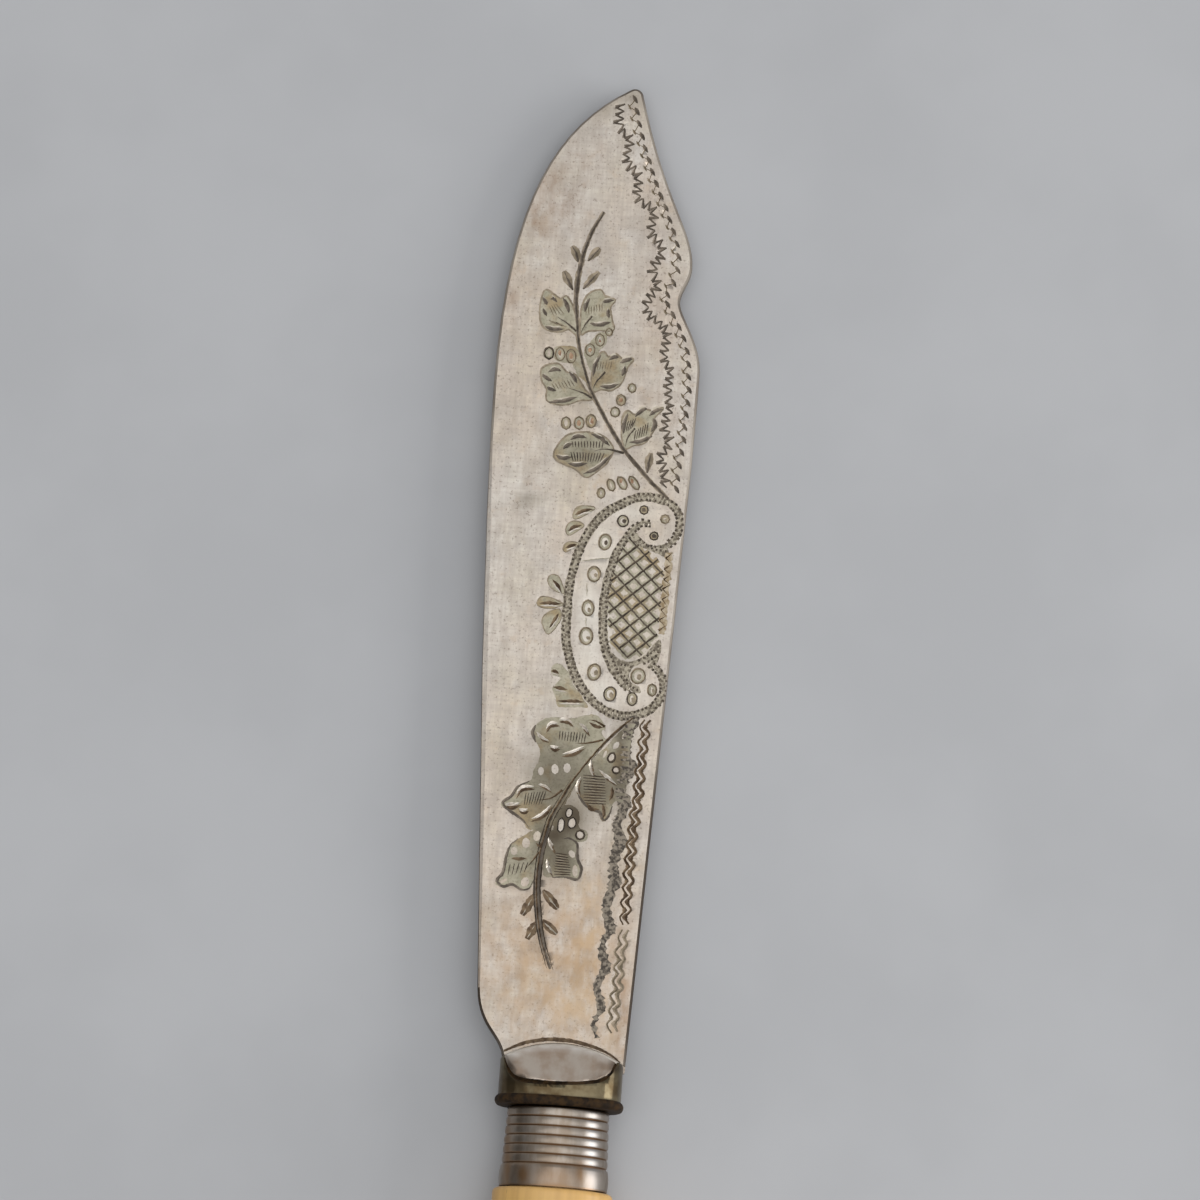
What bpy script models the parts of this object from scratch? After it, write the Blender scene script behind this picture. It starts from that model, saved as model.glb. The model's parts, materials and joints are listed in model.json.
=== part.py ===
"""Butter spreader: a flat blade soldered into an oval bolster, with a reeded ferrule and a bone handle.

The knife is modelled on its own axis. The axis runs along Y, with the flange's back face at y = 0,
the tip towards +Y, the spine towards +X and the face that carries the ornament towards +Z.
An empty then lays the whole knife on a table: it rests on the flange's rim and on the handle's butt,
and the origin is at the middle of the bottom of its box.
"""

import math

import bmesh
import bpy
from mathutils import Matrix
from mathutils import Vector

# Clearance: the film of solder, braze or cement between two pieces that are fixed to each other
seat_gap = 0.00015

# Bolster, from its back face forwards: a socket for the tang, a pocket for the blade's shank,
# and two jaws with sloping pads that clasp the blade, round a drum with a flange at its back.
# The jaws lie in a shallow seat on each face of the blade, so its faces stay clear of them.
# The drum's squareness is 2 for an oval, and more for an oval that is filled out towards its corners
drum_width = 0.0121
drum_thickness = 0.0082
drum_squareness = 3.0
flange_lip = 0.0003
flange_depth = 0.00095
neck_length = 0.0014
socket_depth = 0.0015
socket_web = 0.0004
shank_depth = 0.0016
pocket_wall = 0.0007
shoulder_setback = 0.0008
jaw_drop = 0.0018
jaw_lip = 0.00115
jaw_seat = 0.0003

# Blade, in plan. Stations near the tip count back from it, and those near the root from the bolster
blade_thickness = 0.0014
blade_edge_round = 0.00025
blade_reach = 0.10475
tip_offset = 0.0008
tip_radius = 0.00085
tip_edge_heading = 30
tip_spine_heading = -75
bulge_from_tip = 0.0189
bulge_half_width = 0.0073
notch_from_bulge = 0.0036
notch_half_width = 0.0063
shoulder_from_notch = 0.0075
shoulder_half_width = 0.0088
belly_from_tip = 0.0320
belly_half_width = 0.01185
heel_rise = 0.0075
heel_half_width = 0.00885
spine_root_overhang = 0.00015
edge_root_inset = 0.0002

# Ferrule: reeded towards the bolster, with a plain convex band towards the handle
ferrule_front_width = 0.0100
ferrule_back_width = 0.0106
ferrule_thickness = 0.0076
ferrule_wall = 0.00055
reed_count = 6
reed_pitch = 0.00092
reed_depth = 0.00018
band_length = 0.00224
band_swell = 0.00012

# Handle: an oval of bone that swells towards its butt
handle_length = 0.0910
handle_step = 0.0006
handle_front_round = 0.0005
butt_width = 0.0160
butt_dome = 0.0085

# Tang, and the resin around it in the handle's bore
tang_length = 0.0560
tang_width = 0.0024
tang_thickness = 0.0018
tang_point_width = 0.0014
tang_point_thickness = 0.0012
resin_wall = 0.0002
resin_floor = 0.0030

# Fineness of the round shapes
turn_steps = 40
outline_steps = 16
dome_steps = 7
swell_steps = 9

# Places and sizes that follow from those above
pocket_floor = socket_depth + socket_web
blade_shank_end = pocket_floor + seat_gap
drum_shoulder = blade_shank_end + shank_depth
jaw_reach = drum_shoulder + shoulder_setback + jaw_drop
nose_radius = ((drum_width / 2) ** 2 + jaw_drop ** 2) / (2 * jaw_drop)
pad_rear = flange_depth + neck_length
bolster_flatness = drum_thickness / drum_width
flange_width = drum_width + 2 * flange_lip
flange_thickness = flange_width * bolster_flatness
shank_half_thickness = blade_thickness / 2 - jaw_seat
slot_half_thickness = shank_half_thickness + seat_gap
blade_root = drum_shoulder + seat_gap
shank_half_width = drum_width / 2 - pocket_wall - seat_gap
ferrule_flatness = ferrule_thickness / ferrule_front_width
ferrule_length = reed_count * reed_pitch + band_length
ferrule_front = -seat_gap
ferrule_back = ferrule_front - ferrule_length
ferrule_inner_half_width = ferrule_front_width / 2 - ferrule_wall
spigot_half_width = ferrule_inner_half_width - seat_gap
spigot_front = ferrule_front - seat_gap
handle_shoulder = ferrule_back - seat_gap
handle_front_width = ferrule_back_width + 2 * handle_step
butt_end = handle_shoulder - handle_length
butt_station = butt_end + butt_dome
tang_front = socket_depth - seat_gap
tang_back = tang_front - tang_length
tang_diagonal = math.hypot(tang_width, tang_thickness)
bore_diameter = tang_diagonal + 2 * (seat_gap + resin_wall + seat_gap)
bore_floor = tang_back - seat_gap - resin_floor - seat_gap

collection = bpy.data.collections.new("butter_spreader")
cutters = bpy.data.collections.new("cutters")


def clear_scene():
    for obj in list(bpy.data.objects):
        bpy.data.objects.remove(obj, do_unlink=True)
    bpy.context.scene.collection.children.link(collection)
    bpy.context.scene.collection.children.link(cutters)


def material(name, colour, roughness, metallic):
    finish = bpy.data.materials.new(name)
    finish.use_nodes = True
    shader = finish.node_tree.nodes["Principled BSDF"]
    shader.inputs["Base Color"].default_value = (*colour, 1.0)
    shader.inputs["Roughness"].default_value = roughness
    shader.inputs["Metallic"].default_value = metallic
    return finish


def add_object(name, data, home):
    obj = bpy.data.objects.new(name, data)
    home.objects.link(obj)
    return obj


def add_piece(name, data, finish):
    """Put a finished piece into the knife, with its own material."""
    data.materials.clear()
    data.materials.append(finish)
    return add_object(name, data, collection)


def add_cutter(name, data):
    cutter = add_object(name, data, cutters)
    cutter.hide_render = True
    cutter.display_type = "WIRE"
    return cutter


def cut(piece, cutter, operation="DIFFERENCE"):
    boolean = piece.modifiers.new(cutter.name, "BOOLEAN")
    boolean.operation = operation
    boolean.solver = "EXACT"
    boolean.object = cutter


def ease_edges(piece, width, least_angle):
    bevel = piece.modifiers.new("eased_edges", "BEVEL")
    bevel.width = width
    bevel.segments = 2
    bevel.limit_method = "ANGLE"
    bevel.angle_limit = math.radians(least_angle)


def shade_round(mesh, sharp_angle=35):
    mesh.shade_smooth()
    mesh.set_sharp_from_angle(angle=math.radians(sharp_angle))


def evaluated_mesh(obj):
    """The object's mesh with its modifiers and its place applied, and coinciding points welded."""
    depsgraph = bpy.context.evaluated_depsgraph_get()
    mesh = bpy.data.meshes.new_from_object(obj.evaluated_get(depsgraph))
    mesh.transform(obj.matrix_world)
    bm = bmesh.new()
    bm.from_mesh(mesh)
    bmesh.ops.remove_doubles(bm, verts=bm.verts, dist=1e-7)
    bm.to_mesh(mesh)
    bm.free()
    return mesh


def turned_mesh(name, profile, flatness, closed=False, lead=0):
    """Turn a (radius, station) profile about the knife's axis, then press the round into an oval."""
    bm = bmesh.new()
    way = Vector((math.cos(lead), math.sin(lead)))
    points = [bm.verts.new((radius * way.x, radius * way.y, station)) for radius, station in profile]
    links = list(zip(points, points[1:]))
    if closed:
        links.append((points[-1], points[0]))
    for start, end in links:
        bm.edges.new((start, end))
    outline = bpy.data.meshes.new(name + "_profile")
    bm.to_mesh(outline)
    bm.free()
    lathe = add_object(name + "_lathe", outline, cutters)
    turn = lathe.modifiers.new("turn", "SCREW")
    turn.steps = turn_steps
    turn.render_steps = turn_steps
    turn.use_merge_vertices = True
    turn.merge_threshold = 1e-6
    lathe.rotation_euler = (-math.pi / 2, 0, 0)
    lathe.scale = (1, flatness, 1)
    bpy.context.view_layer.update()
    mesh = evaluated_mesh(lathe)
    mesh.name = name
    bpy.data.objects.remove(lathe, do_unlink=True)
    shade_round(mesh)
    return mesh


def fill_corners(mesh, flatness, squareness):
    """Fill out a turned oval towards its corners. Its width and its thickness stay as they are."""
    for vert in mesh.vertices:
        across = abs(vert.co.x)
        up = abs(vert.co.z) / flatness
        reach = (across ** squareness + up ** squareness) ** (1 / squareness)
        fill = math.hypot(across, up) / reach if reach > 1e-6 else 1
        vert.co.x *= fill
        vert.co.z *= fill


def box_mesh(name, low, high, turn=None):
    bm = bmesh.new()
    bmesh.ops.create_cube(bm, size=1)
    low = Vector(low)
    high = Vector(high)
    bmesh.ops.scale(bm, vec=high - low, verts=bm.verts)
    bmesh.ops.translate(bm, vec=(low + high) / 2, verts=bm.verts)
    if turn:
        bmesh.ops.transform(bm, matrix=turn, verts=bm.verts)
    mesh = bpy.data.meshes.new(name)
    bm.to_mesh(mesh)
    bm.free()
    return mesh


def nose_mesh(name, radius, low, high):
    """An upright disc about the centre that the jaws' front edge curves round."""
    bm = bmesh.new()
    bmesh.ops.create_cone(bm, cap_ends=True, segments=128, radius1=radius, radius2=radius, depth=high - low)
    bmesh.ops.translate(bm, verts=bm.verts, vec=(0, jaw_reach - nose_radius, (low + high) / 2))
    mesh = bpy.data.meshes.new(name)
    bm.to_mesh(mesh)
    bm.free()
    return mesh


def rod_mesh(name, front, back, front_size, back_size, sides):
    """A tapered rod along the axis, with sizes across X and Z at its front and back ends."""
    bm = bmesh.new()
    bmesh.ops.create_cone(bm, cap_ends=True, segments=sides, radius1=0.5, radius2=0.5, depth=front - back)
    if sides == 4:
        bmesh.ops.rotate(bm, verts=bm.verts, matrix=Matrix.Rotation(math.pi / 4, 3, "Z"))
        bmesh.ops.scale(bm, verts=bm.verts, vec=(math.sqrt(2), math.sqrt(2), 1))
    bmesh.ops.rotate(bm, verts=bm.verts, matrix=Matrix.Rotation(-math.pi / 2, 3, "X"))
    bmesh.ops.translate(bm, verts=bm.verts, vec=(0, (front + back) / 2, 0))
    for vert in bm.verts:
        across = front_size if vert.co.y > (front + back) / 2 else back_size
        vert.co.x *= across[0]
        vert.co.z *= across[1]
    mesh = bpy.data.meshes.new(name)
    bm.to_mesh(mesh)
    bm.free()
    return mesh


def heading(degrees):
    return Vector((math.cos(math.radians(degrees)), math.sin(math.radians(degrees))))


def blade_knots():
    """The outline's knots, clockwise from the tip: place, heading, and the pull before and after it."""
    tip_turn = math.radians(tip_edge_heading - tip_spine_heading)
    tip_corner = Vector((tip_offset, blade_reach))
    tip_tangent = tip_radius * math.tan(tip_turn / 2)
    tip_pull = tip_radius * math.tan(tip_turn / 4) * 4 / 3
    edge_tip = tip_corner - heading(tip_edge_heading) * tip_tangent
    spine_tip = tip_corner + heading(tip_spine_heading) * tip_tangent
    bulge = Vector((bulge_half_width, blade_reach - bulge_from_tip))
    notch = Vector((notch_half_width, bulge.y - notch_from_bulge))
    shoulder = Vector((shoulder_half_width, notch.y - shoulder_from_notch))
    spine_root = Vector((drum_width / 2 + spine_root_overhang, blade_root))
    edge_root = Vector((edge_root_inset - drum_width / 2, blade_root))
    heel = Vector((-heel_half_width, blade_root + heel_rise))
    belly = Vector((-belly_half_width, blade_reach - belly_from_tip))
    spine_run = shoulder.y - blade_root
    edge_run = belly.y - heel.y
    return [
        (edge_tip, tip_edge_heading, belly_from_tip * 0.26, tip_pull),
        (spine_tip, tip_spine_heading, tip_pull, bulge_from_tip * 0.62),
        (bulge, -90, bulge_from_tip * 0.20, notch_from_bulge * 0.38),
        (notch, -90, notch_from_bulge * 0.34, shoulder_from_notch * 0.20),
        (shoulder, -90, shoulder_from_notch * 0.46, spine_run * 0.20),
        (spine_root, -92, spine_run * 0.38, 0),
        (Vector((shank_half_width, blade_root)), None, 0, 0),
        (Vector((shank_half_width, blade_shank_end)), None, 0, 0),
        (Vector((-shank_half_width, blade_shank_end)), None, 0, 0),
        (Vector((-shank_half_width, blade_root)), None, 0, 0),
        (edge_root, 88, 0, heel_rise * 0.40),
        (heel, 94, heel_rise * 0.58, edge_run * 0.30),
        (belly, 90, edge_run * 0.25, belly_from_tip * 0.60),
    ]


def make_blade():
    """A flat plate with the outline of a butter knife, eased all round, seated for the bolster's jaws."""
    curve = bpy.data.curves.new("blade_outline", "CURVE")
    curve.dimensions = "2D"
    curve.fill_mode = "BOTH"
    curve.extrude = blade_thickness / 2
    curve.resolution_u = outline_steps
    knots = blade_knots()
    spline = curve.splines.new("BEZIER")
    spline.bezier_points.add(len(knots) - 1)
    spline.use_cyclic_u = True
    for point, (place, direction, pull_before, pull_after) in zip(spline.bezier_points, knots):
        along = heading(direction or 0)
        point.handle_left_type = "FREE" if pull_before else "VECTOR"
        point.handle_right_type = "FREE" if pull_after else "VECTOR"
        point.co = (*place, 0)
        point.handle_left = (*(place - along * pull_before), 0)
        point.handle_right = (*(place + along * pull_after), 0)
    plate = add_object("blade_plate", curve, cutters)
    bpy.context.view_layer.update()
    mesh = evaluated_mesh(plate)
    mesh.name = "blade"
    bpy.data.objects.remove(plate, do_unlink=True)
    bm = bmesh.new()
    bm.from_mesh(mesh)
    bmesh.ops.dissolve_limit(bm, angle_limit=math.radians(0.1), verts=bm.verts, edges=bm.edges)
    bmesh.ops.recalc_face_normals(bm, faces=bm.faces)
    bm.to_mesh(mesh)
    bm.free()
    blade = add_piece("blade", mesh, material("worn_silver_plate", (0.58, 0.52, 0.43), 0.38, 1.0))
    ease_edges(blade, blade_edge_round, 60)
    seat_radius = nose_radius + seat_gap
    upper = nose_mesh("upper_jaw_seat", seat_radius, shank_half_thickness, blade_thickness)
    cut(blade, add_cutter("upper_jaw_seat", upper))
    lower = nose_mesh("lower_jaw_seat", seat_radius, -blade_thickness, -shank_half_thickness)
    cut(blade, add_cutter("lower_jaw_seat", lower))
    return blade


def arc_points(centre, radius, start, end, count):
    """Points of an arc in (radius, station) terms, from one angle to another."""
    steps = [start + (end - start) * index / (count - 1) for index in range(count)]
    return [(centre[0] + radius * math.cos(a), centre[1] + radius * math.sin(a)) for a in steps]


def make_bolster():
    """An oval flange and drum, with a pocket for the shank and two jaws that slope to the blade."""
    drum_radius = drum_width / 2
    rim = flange_depth / 2
    rim_centre = (flange_width / 2 - rim, rim)
    rim_start = math.acos(min(1, max(0, (drum_radius - rim_centre[0]) / rim)))
    profile = [(0, jaw_reach), (drum_radius, jaw_reach)]
    profile += arc_points(rim_centre, rim, rim_start, -math.pi / 2, 7)
    profile.append((0, 0))
    half_step = math.pi / turn_steps
    mesh = turned_mesh("bolster", profile, bolster_flatness, lead=half_step)
    fill_corners(mesh, bolster_flatness, drum_squareness)
    bolster = add_piece("bolster", mesh, material("tarnished_nickel_silver", (0.45, 0.38, 0.24), 0.42, 1.0))

    nose = nose_mesh("jaw_nose", nose_radius, -flange_thickness, flange_thickness)
    cut(bolster, add_cutter("jaw_nose", nose), "INTERSECT")

    pad_rear_height = drum_thickness / 2
    pad_front_height = slot_half_thickness + jaw_lip
    slope = math.atan2(pad_rear_height - pad_front_height, jaw_reach - pad_rear)
    for side, name in ((1, "upper_pad"), (-1, "lower_pad")):
        lie = Matrix.Translation((0, pad_rear, side * pad_rear_height))
        lie = lie @ Matrix.Rotation(-side * slope, 4, "X")
        low = (-drum_width, -pad_rear, min(0, side * flange_thickness))
        high = (drum_width, 3 * jaw_reach, max(0, side * flange_thickness))
        cut(bolster, add_cutter(name, box_mesh(name, low, high, lie)))

    jaw_slot = box_mesh("jaw_slot", (-drum_width, drum_shoulder, -slot_half_thickness),
                        (drum_width, 2 * jaw_reach, slot_half_thickness))
    cut(bolster, add_cutter("jaw_slot", jaw_slot))
    pocket_half_width = shank_half_width + seat_gap
    pocket = box_mesh("shank_pocket", (-pocket_half_width, pocket_floor, -slot_half_thickness),
                      (pocket_half_width, (drum_shoulder + jaw_reach) / 2, slot_half_thickness))
    cut(bolster, add_cutter("shank_pocket", pocket))

    socket_size = (tang_width + 2 * seat_gap, tang_thickness + 2 * seat_gap)
    socket = rod_mesh("tang_socket", socket_depth, -socket_depth, socket_size, socket_size, 4)
    cut(bolster, add_cutter("tang_socket", socket))
    return bolster


def make_tang():
    """A tapered bar, brazed into the bolster and set in the handle's bore."""
    mesh = rod_mesh("tang", tang_front, tang_back, (tang_width, tang_thickness),
                    (tang_point_width, tang_point_thickness), 4)
    return add_piece("tang", mesh, material("tang_steel", (0.20, 0.19, 0.18), 0.55, 1.0))


def ferrule_radius(station):
    """Half the ferrule's width at a station, on the straight taper under its reeds."""
    share = (ferrule_front - station) / ferrule_length
    return (ferrule_front_width + (ferrule_back_width - ferrule_front_width) * share) / 2


def make_ferrule():
    """A thin oval collar with round reeds, then a plain band that swells a little."""
    profile = []
    reed_samples = 4
    for step in range(reed_count * reed_samples + 1):
        station = ferrule_front - reed_pitch * step / reed_samples
        crest = abs(math.sin(math.pi * step / reed_samples))
        profile.append((ferrule_radius(station) - reed_depth * (1 - crest), station))
    band_front = ferrule_front - reed_pitch * reed_count
    band_samples = 6
    for step in range(1, band_samples + 1):
        share = step / band_samples
        station = band_front + (ferrule_back - band_front) * share
        profile.append((ferrule_radius(station) + band_swell * math.sin(math.pi * share), station))
    profile.append((ferrule_inner_half_width, ferrule_back))
    profile.append((ferrule_inner_half_width, ferrule_front))
    mesh = turned_mesh("ferrule", profile, ferrule_flatness, closed=True)
    return add_piece("ferrule", mesh, material("ferrule_silver", (0.62, 0.58, 0.53), 0.28, 1.0))


def handle_profile():
    """The grip's outer profile in (radius, station) terms: shoulder, long swell and domed butt."""
    front_half = handle_front_width / 2
    butt_half = butt_width / 2
    swell_front = handle_shoulder - handle_front_round
    corner = (front_half - handle_front_round, swell_front)
    profile = arc_points(corner, handle_front_round, math.pi / 2, 0, 4)
    for step in range(1, swell_steps):
        share = step / swell_steps
        rise = (1 - math.cos(math.pi * share)) / 2
        station = swell_front + (butt_station - swell_front) * share
        profile.append((front_half + (butt_half - front_half) * rise, station))
    for step in range(dome_steps):
        angle = math.pi / 2 * step / dome_steps
        profile.append((butt_half * math.cos(angle) ** 0.62, butt_station - butt_dome * math.sin(angle)))
    return profile


def make_handle():
    """An oval bone grip with a spigot for the ferrule, bored for the tang."""
    spigot = [(0, spigot_front), (spigot_half_width, spigot_front), (spigot_half_width, handle_shoulder)]
    mesh = turned_mesh("handle", spigot + handle_profile() + [(0, butt_end)], ferrule_flatness)
    handle = add_piece("handle", mesh, material("old_bone", (0.72, 0.52, 0.28), 0.42, 0.0))
    bore_size = (bore_diameter, bore_diameter)
    bore = rod_mesh("handle_bore", -spigot_front, bore_floor, bore_size, bore_size, turn_steps)
    cut(handle, add_cutter("handle_bore", bore))
    return handle


def make_cement():
    """The resin that fills the handle's bore around the tang, a sleeve with a closed end."""
    size = (bore_diameter - 2 * seat_gap, bore_diameter - 2 * seat_gap)
    mesh = rod_mesh("cement", spigot_front, bore_floor + seat_gap, size, size, turn_steps)
    shade_round(mesh)
    cement = add_piece("cement", mesh, material("cutlers_resin", (0.10, 0.055, 0.03), 0.7, 0.0))
    taper_width = (tang_width - tang_point_width) / tang_length
    taper_thickness = (tang_thickness - tang_point_thickness) / tang_length
    run_out = tang_front
    front_size = (tang_width + 2 * seat_gap + taper_width * run_out,
                  tang_thickness + 2 * seat_gap + taper_thickness * run_out)
    back_size = (tang_point_width + 2 * seat_gap, tang_point_thickness + 2 * seat_gap)
    hole = rod_mesh("tang_hole", tang_front + run_out, tang_back - seat_gap, front_size, back_size, 4)
    cut(cement, add_cutter("tang_hole", hole))
    return cement


def rest_slope(station, half_thickness):
    """How much the axis falls, per unit of length, when it rests on this front point and on the handle."""
    return max((radius * ferrule_flatness - half_thickness) / (station - back)
               for radius, back in handle_profile())


def lay_on_table(knife, pieces):
    """Tilt the knife until the flange or the tip touches with the handle; put the origin under its box."""
    rim_slope = rest_slope(flange_depth / 2, flange_thickness / 2)
    tip_slope = rest_slope(blade_reach, blade_thickness / 2)
    knife.rotation_euler = (-math.atan(min(rim_slope, tip_slope)), 0, 0)
    bpy.context.view_layer.update()
    depsgraph = bpy.context.evaluated_depsgraph_get()
    corners = []
    for piece in pieces:
        evaluated = piece.evaluated_get(depsgraph)
        corners += [evaluated.matrix_world @ vert.co for vert in evaluated.data.vertices]
    low = Vector([min(corner[axis] for corner in corners) for axis in range(3)])
    high = Vector([max(corner[axis] for corner in corners) for axis in range(3)])
    knife.location = (-(low.x + high.x) / 2, -(low.y + high.y) / 2, -low.z)
    bpy.context.view_layer.update()
    print("rest tilt in degrees", round(math.degrees(knife.rotation_euler.x), 4))
    print("place of the flange's back face", [round(value, 6) for value in knife.location])
    print("size of the box", [round(value, 6) for value in high - low])


def main():
    clear_scene()
    knife = add_object("knife_axis", None, collection)
    pieces = [make_blade(), make_bolster(), make_tang(), make_ferrule(), make_handle(), make_cement()]
    for member in pieces + list(cutters.objects):
        member.parent = knife
    lay_on_table(knife, pieces)


main()
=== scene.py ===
# %% [markdown]
# # An engraved butter spreader
# The knife has a flat silver-plated blade, a cast bolster, a reeded ferrule and a bone handle.
# Its solids come packed from the CAD part, and this lesson gives them their looks.
# One could model everything again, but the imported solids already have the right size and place,
# so each new piece is built on them and stands for one of them.

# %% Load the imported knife
import json
import math
import random

import bmesh
import bpy
from mathutils import Matrix
from mathutils import Vector
from mathutils.bvhtree import BVHTree
from mathutils.geometry import interpolate_bezier
from mathutils.geometry import intersect_line_line_2d


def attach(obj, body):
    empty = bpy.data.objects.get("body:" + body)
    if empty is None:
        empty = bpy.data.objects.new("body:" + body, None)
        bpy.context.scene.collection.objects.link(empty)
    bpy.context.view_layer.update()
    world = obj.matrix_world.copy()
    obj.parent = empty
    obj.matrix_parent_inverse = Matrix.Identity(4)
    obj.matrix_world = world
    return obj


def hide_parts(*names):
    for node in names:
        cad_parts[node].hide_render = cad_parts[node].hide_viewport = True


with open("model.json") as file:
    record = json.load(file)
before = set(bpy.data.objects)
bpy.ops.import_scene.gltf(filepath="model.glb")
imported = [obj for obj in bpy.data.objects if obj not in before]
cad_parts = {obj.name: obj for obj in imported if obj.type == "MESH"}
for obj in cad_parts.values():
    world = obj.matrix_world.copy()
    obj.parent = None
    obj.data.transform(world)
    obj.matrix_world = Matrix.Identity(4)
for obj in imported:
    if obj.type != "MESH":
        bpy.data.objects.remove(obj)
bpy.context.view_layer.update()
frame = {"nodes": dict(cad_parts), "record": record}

# %% [markdown]
# ## The bench frame
# The knife lies on a table, a little tilted, because it rests on its flange and on its butt.
# Shapes are easier to make on a bench frame: the axis along Y from the flange's back face,
# the spine towards +X and the ornament towards +Z. The record's only mount lies on the blade's underside,
# at a place that is known on the bench, so its place and axis in the record give the tilt and the origin.

# %% Find the bench frame from the mount
blade_thickness = 0.0014
face_height = blade_thickness / 2
mount_on_bench = Vector((-0.0015, 0.0500, -face_height))
mount = frame["record"]["mounts"][0]
table_turn = Matrix.Rotation(math.asin(mount["axis"][1]), 4, "X")
flange_back = Vector(mount["pos_m"]) - table_turn.to_3x3() @ mount_on_bench
to_table = Matrix.Translation(flange_back) @ table_turn
to_bench = to_table.inverted()
print("flange's back face in mm", [round(value * 1000, 3) for value in flange_back])

# %% [markdown]
# ## The camera
# The picture looks down at the blade from 80 degrees, a little from the spine's side.
# A long lens half a metre away gives its faint perspective: 5000 pixels of a 1200 pixel picture.
# The camera comes first, because the ornament is laid out by where its points are in the picture.

# %% Set up the camera
picture_side = 1200
lens = 150
sensor = 36
azimuth = math.radians(4.1)
elevation = math.radians(80)
distance = 0.5
aim_on_bench = Vector((0.00042, 0.05095, face_height))
aim = to_table @ aim_on_bench
level_reach = math.cos(elevation)
back = Vector((math.sin(azimuth) * level_reach, -math.cos(azimuth) * level_reach, math.sin(elevation)))
camera_data = bpy.data.cameras.new("camera")
camera_data.lens = lens
camera_data.sensor_width = sensor
camera_data.clip_start = 0.01
camera = bpy.data.objects.new("camera", camera_data)
camera.location = aim + back * distance
camera.rotation_euler = back.to_track_quat("Z", "Y").to_euler()
bpy.context.scene.collection.objects.link(camera)
bpy.context.scene.camera = camera
bpy.context.view_layer.update()
print("camera in mm", [round(value * 1000, 1) for value in camera.location])

# %% [markdown]
# ## From the picture to the blade
# A point of the picture is a ray from the camera. Where the ray meets the plane of the blade's face
# is where the engraver's tool went. So each list of points below is a drawing in picture pixels,
# and one pixel is about a tenth of a millimetre on the blade.

# %% Project a picture point on the blade's face
pixel = 0.0001
focal_pixels = picture_side * lens / sensor
view_turn = camera.matrix_world.to_3x3()
eye = to_bench @ camera.location


def sight(point):
    """The direction that a picture point looks in, on the bench."""
    across = (point[0] - picture_side / 2) / focal_pixels
    up = (picture_side / 2 - point[1]) / focal_pixels
    return to_bench.to_3x3() @ view_turn @ Vector((across, up, -1))


def on_face(point):
    """Where a picture point lies on the blade's face, on the bench."""
    ray = sight(point)
    return (eye + ray * (face_height - eye.z) / ray.z).xy


def in_picture(place):
    """The picture point at which a place on the bench is seen."""
    seen = view_turn.transposed() @ (to_table @ place - camera.location)
    return Vector((seen.x, -seen.y)) * focal_pixels / -seen.z + Vector((picture_side, picture_side)) / 2


print("picture's middle on the bench in mm", [round(value * 1000, 2) for value in on_face((600, 600))])

# %% [markdown]
# ## A helper for node trees
# Materials here are node trees written in code. One helper adds a node and fills its sockets:
# a value is set, and another node's output is linked. A second helper mixes two colours.

# %% Define the node helpers


def add_node(tree, kind, sockets=None, **settings):
    """A shader node whose sockets are set to values or linked to outputs."""
    node = tree.nodes.new("ShaderNode" + kind)
    for name, value in settings.items():
        setattr(node, name, value)
    for name, value in (sockets or {}).items():
        if isinstance(value, bpy.types.NodeSocket):
            tree.links.new(value, node.inputs[name])
        else:
            node.inputs[name].default_value = value
    return node


def mix_colour(tree, factor, first, second):
    """The output of a node that goes from the first colour to the second."""
    node = add_node(tree, "Mix", {0: factor}, data_type="RGBA")
    for index, colour in ((6, first), (7, second)):
        if isinstance(colour, bpy.types.NodeSocket):
            tree.links.new(colour, node.inputs[index])
        else:
            node.inputs[index].default_value = (*colour, 1)
    return node.outputs[2]


def scaled(tree, value, factor):
    """The output of a node that multiplies two values."""
    return add_node(tree, "Math", {0: value, 1: factor}, operation="MULTIPLY").outputs[0]


def attribute(tree, name):
    """The value that is painted on the mesh under a name."""
    return add_node(tree, "Attribute", attribute_name=name).outputs["Fac"]


print("node helpers are ready")

# %% [markdown]
# ## Floor and light
# The table is a plain pale cool grey. A wide soft lamp hangs above the handle's side, so that cuts which
# face the handle look bright and those which face the tip look dark. A low window on the right draws
# the bright line down the ferrule and pushes the soft shadow to the left. The room is dimmer far to the
# left, because round metal looks flat in a room that is the same all round. The camera itself sees
# an even room.

# %% Lay the floor and set the light
bpy.context.scene.view_settings.view_transform = "Standard"
room_level = 0.575
dim_side_level = 0.12
world = bpy.data.worlds.new("studio")
world.use_nodes = True
tree = world.node_tree
background = tree.nodes["Background"]
background.inputs["Color"].default_value = (0.95, 0.97, 1.0, 1)
look = add_node(tree, "TexCoord")
look_x = add_node(tree, "SeparateXYZ", {0: look.outputs["Generated"]})
dimming = add_node(tree, "MapRange", {"Value": look_x.outputs["X"], "From Min": -0.95, "From Max": -0.50,
                                      "To Min": dim_side_level, "To Max": room_level})
rays = add_node(tree, "LightPath")
to_camera = rays.outputs["Is Camera Ray"]
level = add_node(tree, "Mix", {0: to_camera, 2: dimming.outputs["Result"], 3: room_level})
tree.links.new(level.outputs[0], background.inputs["Strength"])
bpy.context.scene.world = world


def add_lamp(name, place, target, size, power):
    """A soft rectangular lamp that looks at a target."""
    data = bpy.data.lights.new(name, "AREA")
    data.shape = "RECTANGLE"
    data.size = size[0]
    data.size_y = size[1]
    data.energy = power
    lamp = bpy.data.objects.new(name, data)
    lamp.location = place
    lamp.rotation_euler = (Vector(place) - Vector(target)).to_track_quat("Z", "Y").to_euler()
    bpy.context.scene.collection.objects.link(lamp)


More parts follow.
